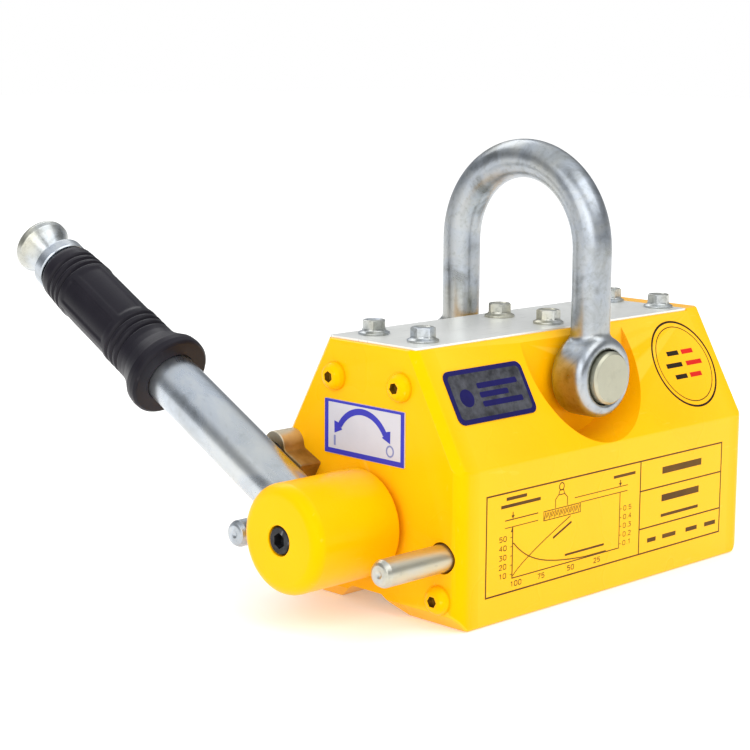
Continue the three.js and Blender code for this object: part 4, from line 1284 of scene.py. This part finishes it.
w_gloss.inputs[1].default_value = 1.0
w_soft.inputs[0].default_value, w_soft.inputs[1].default_value = (1.0, 1.0, 1.0, 1), 0.95
w_cam.inputs[0].default_value, w_cam.inputs[1].default_value = (1, 1, 1, 1), 1.0
wt.links.new(w_path.outputs["Is Glossy Ray"], w_mix.inputs[0])
wt.links.new(w_soft.outputs[0], w_mix.inputs[1])
wt.links.new(w_gloss.outputs[0], w_mix.inputs[2])
wt.links.new(w_path.outputs["Is Camera Ray"], w_mix2.inputs[0])
wt.links.new(w_mix.outputs[0], w_mix2.inputs[1])
wt.links.new(w_cam.outputs[0], w_mix2.inputs[2])
wt.links.new(w_mix2.outputs[0], w_out.inputs[0])

fn = Nodes("studio_floor")
fn.set(color=fn.ramp(fn.noise(6, 2), [(0.3, (0.885, 0.885, 0.88)), (0.7, (0.90, 0.90, 0.895))]), rough=0.8, spec=0.0)
fn.p.inputs["Emission Color"].default_value = (1, 1, 1, 1)
fn.p.inputs["Emission Strength"].default_value = 0.22
fm = bpy.data.meshes.new("floor")
fm.from_pydata([(-6, -6, 0), (6, -6, 0), (6, 6, 0), (-6, 6, 0)], [], [(0, 1, 2, 3)])
floor = bpy.data.objects.new("floor", fm)
bpy.context.scene.collection.objects.link(floor)
floor.location.z = -0.0002
floor.data.materials.append(fn.m)


def area(name, loc, target, size, power, color=(1, 1, 1)):
    li = bpy.data.lights.new(name, "AREA")
    li.shape, li.size, li.size_y = "RECTANGLE", size[0], size[1]
    li.energy, li.color = power, color
    o = bpy.data.objects.new(name, li)
    bpy.context.scene.collection.objects.link(o)
    o.location = loc
    o.rotation_euler = (Vector(target) - Vector(loc)).to_track_quat("-Z", "Y").to_euler()
    return o


CEN = (0.0, 0.0, 0.07)
area("key", (0.10, -0.95, 1.30), CEN, (1.5, 1.1), 7.5)
area("fill_left", (-1.45, -0.25, 0.75), CEN, (1.1, 1.1), 6.0)
area("front", (-1.25, -1.05, 0.62), CEN, (0.8, 0.8), 4.2)
area("back_top", (0.3, 1.1, 1.1), CEN, (1.2, 0.6), 4.0)

cam_data = bpy.data.cameras.new("camera")
cam = bpy.data.objects.new("camera", cam_data)
bpy.context.scene.collection.objects.link(cam)
cam_data.sensor_width, cam_data.lens = 36.0, 1918.14 / 750 * 36
cam_data.clip_start, cam_data.clip_end = 0.02, 50
az, elv, roll = math.radians(-44.66), math.radians(9.73), math.radians(0.36)
right = Vector((math.cos(az), math.sin(az), 0))
back = Vector((math.sin(az) * math.cos(elv), -math.cos(az) * math.cos(elv), math.sin(elv)))
up = back.cross(right)
r2 = right * math.cos(roll) + up * math.sin(roll)
u2 = up * math.cos(roll) - right * math.sin(roll)
rot = Matrix((r2, u2, back)).transposed().to_4x4()
cam.matrix_world = Matrix.Translation(Vector((-0.55988, -0.48464, 0.20310))) @ rot
bpy.context.scene.camera = cam
bpy.context.scene.view_settings.view_transform = "Standard"
bpy.context.scene.view_settings.look = "None"
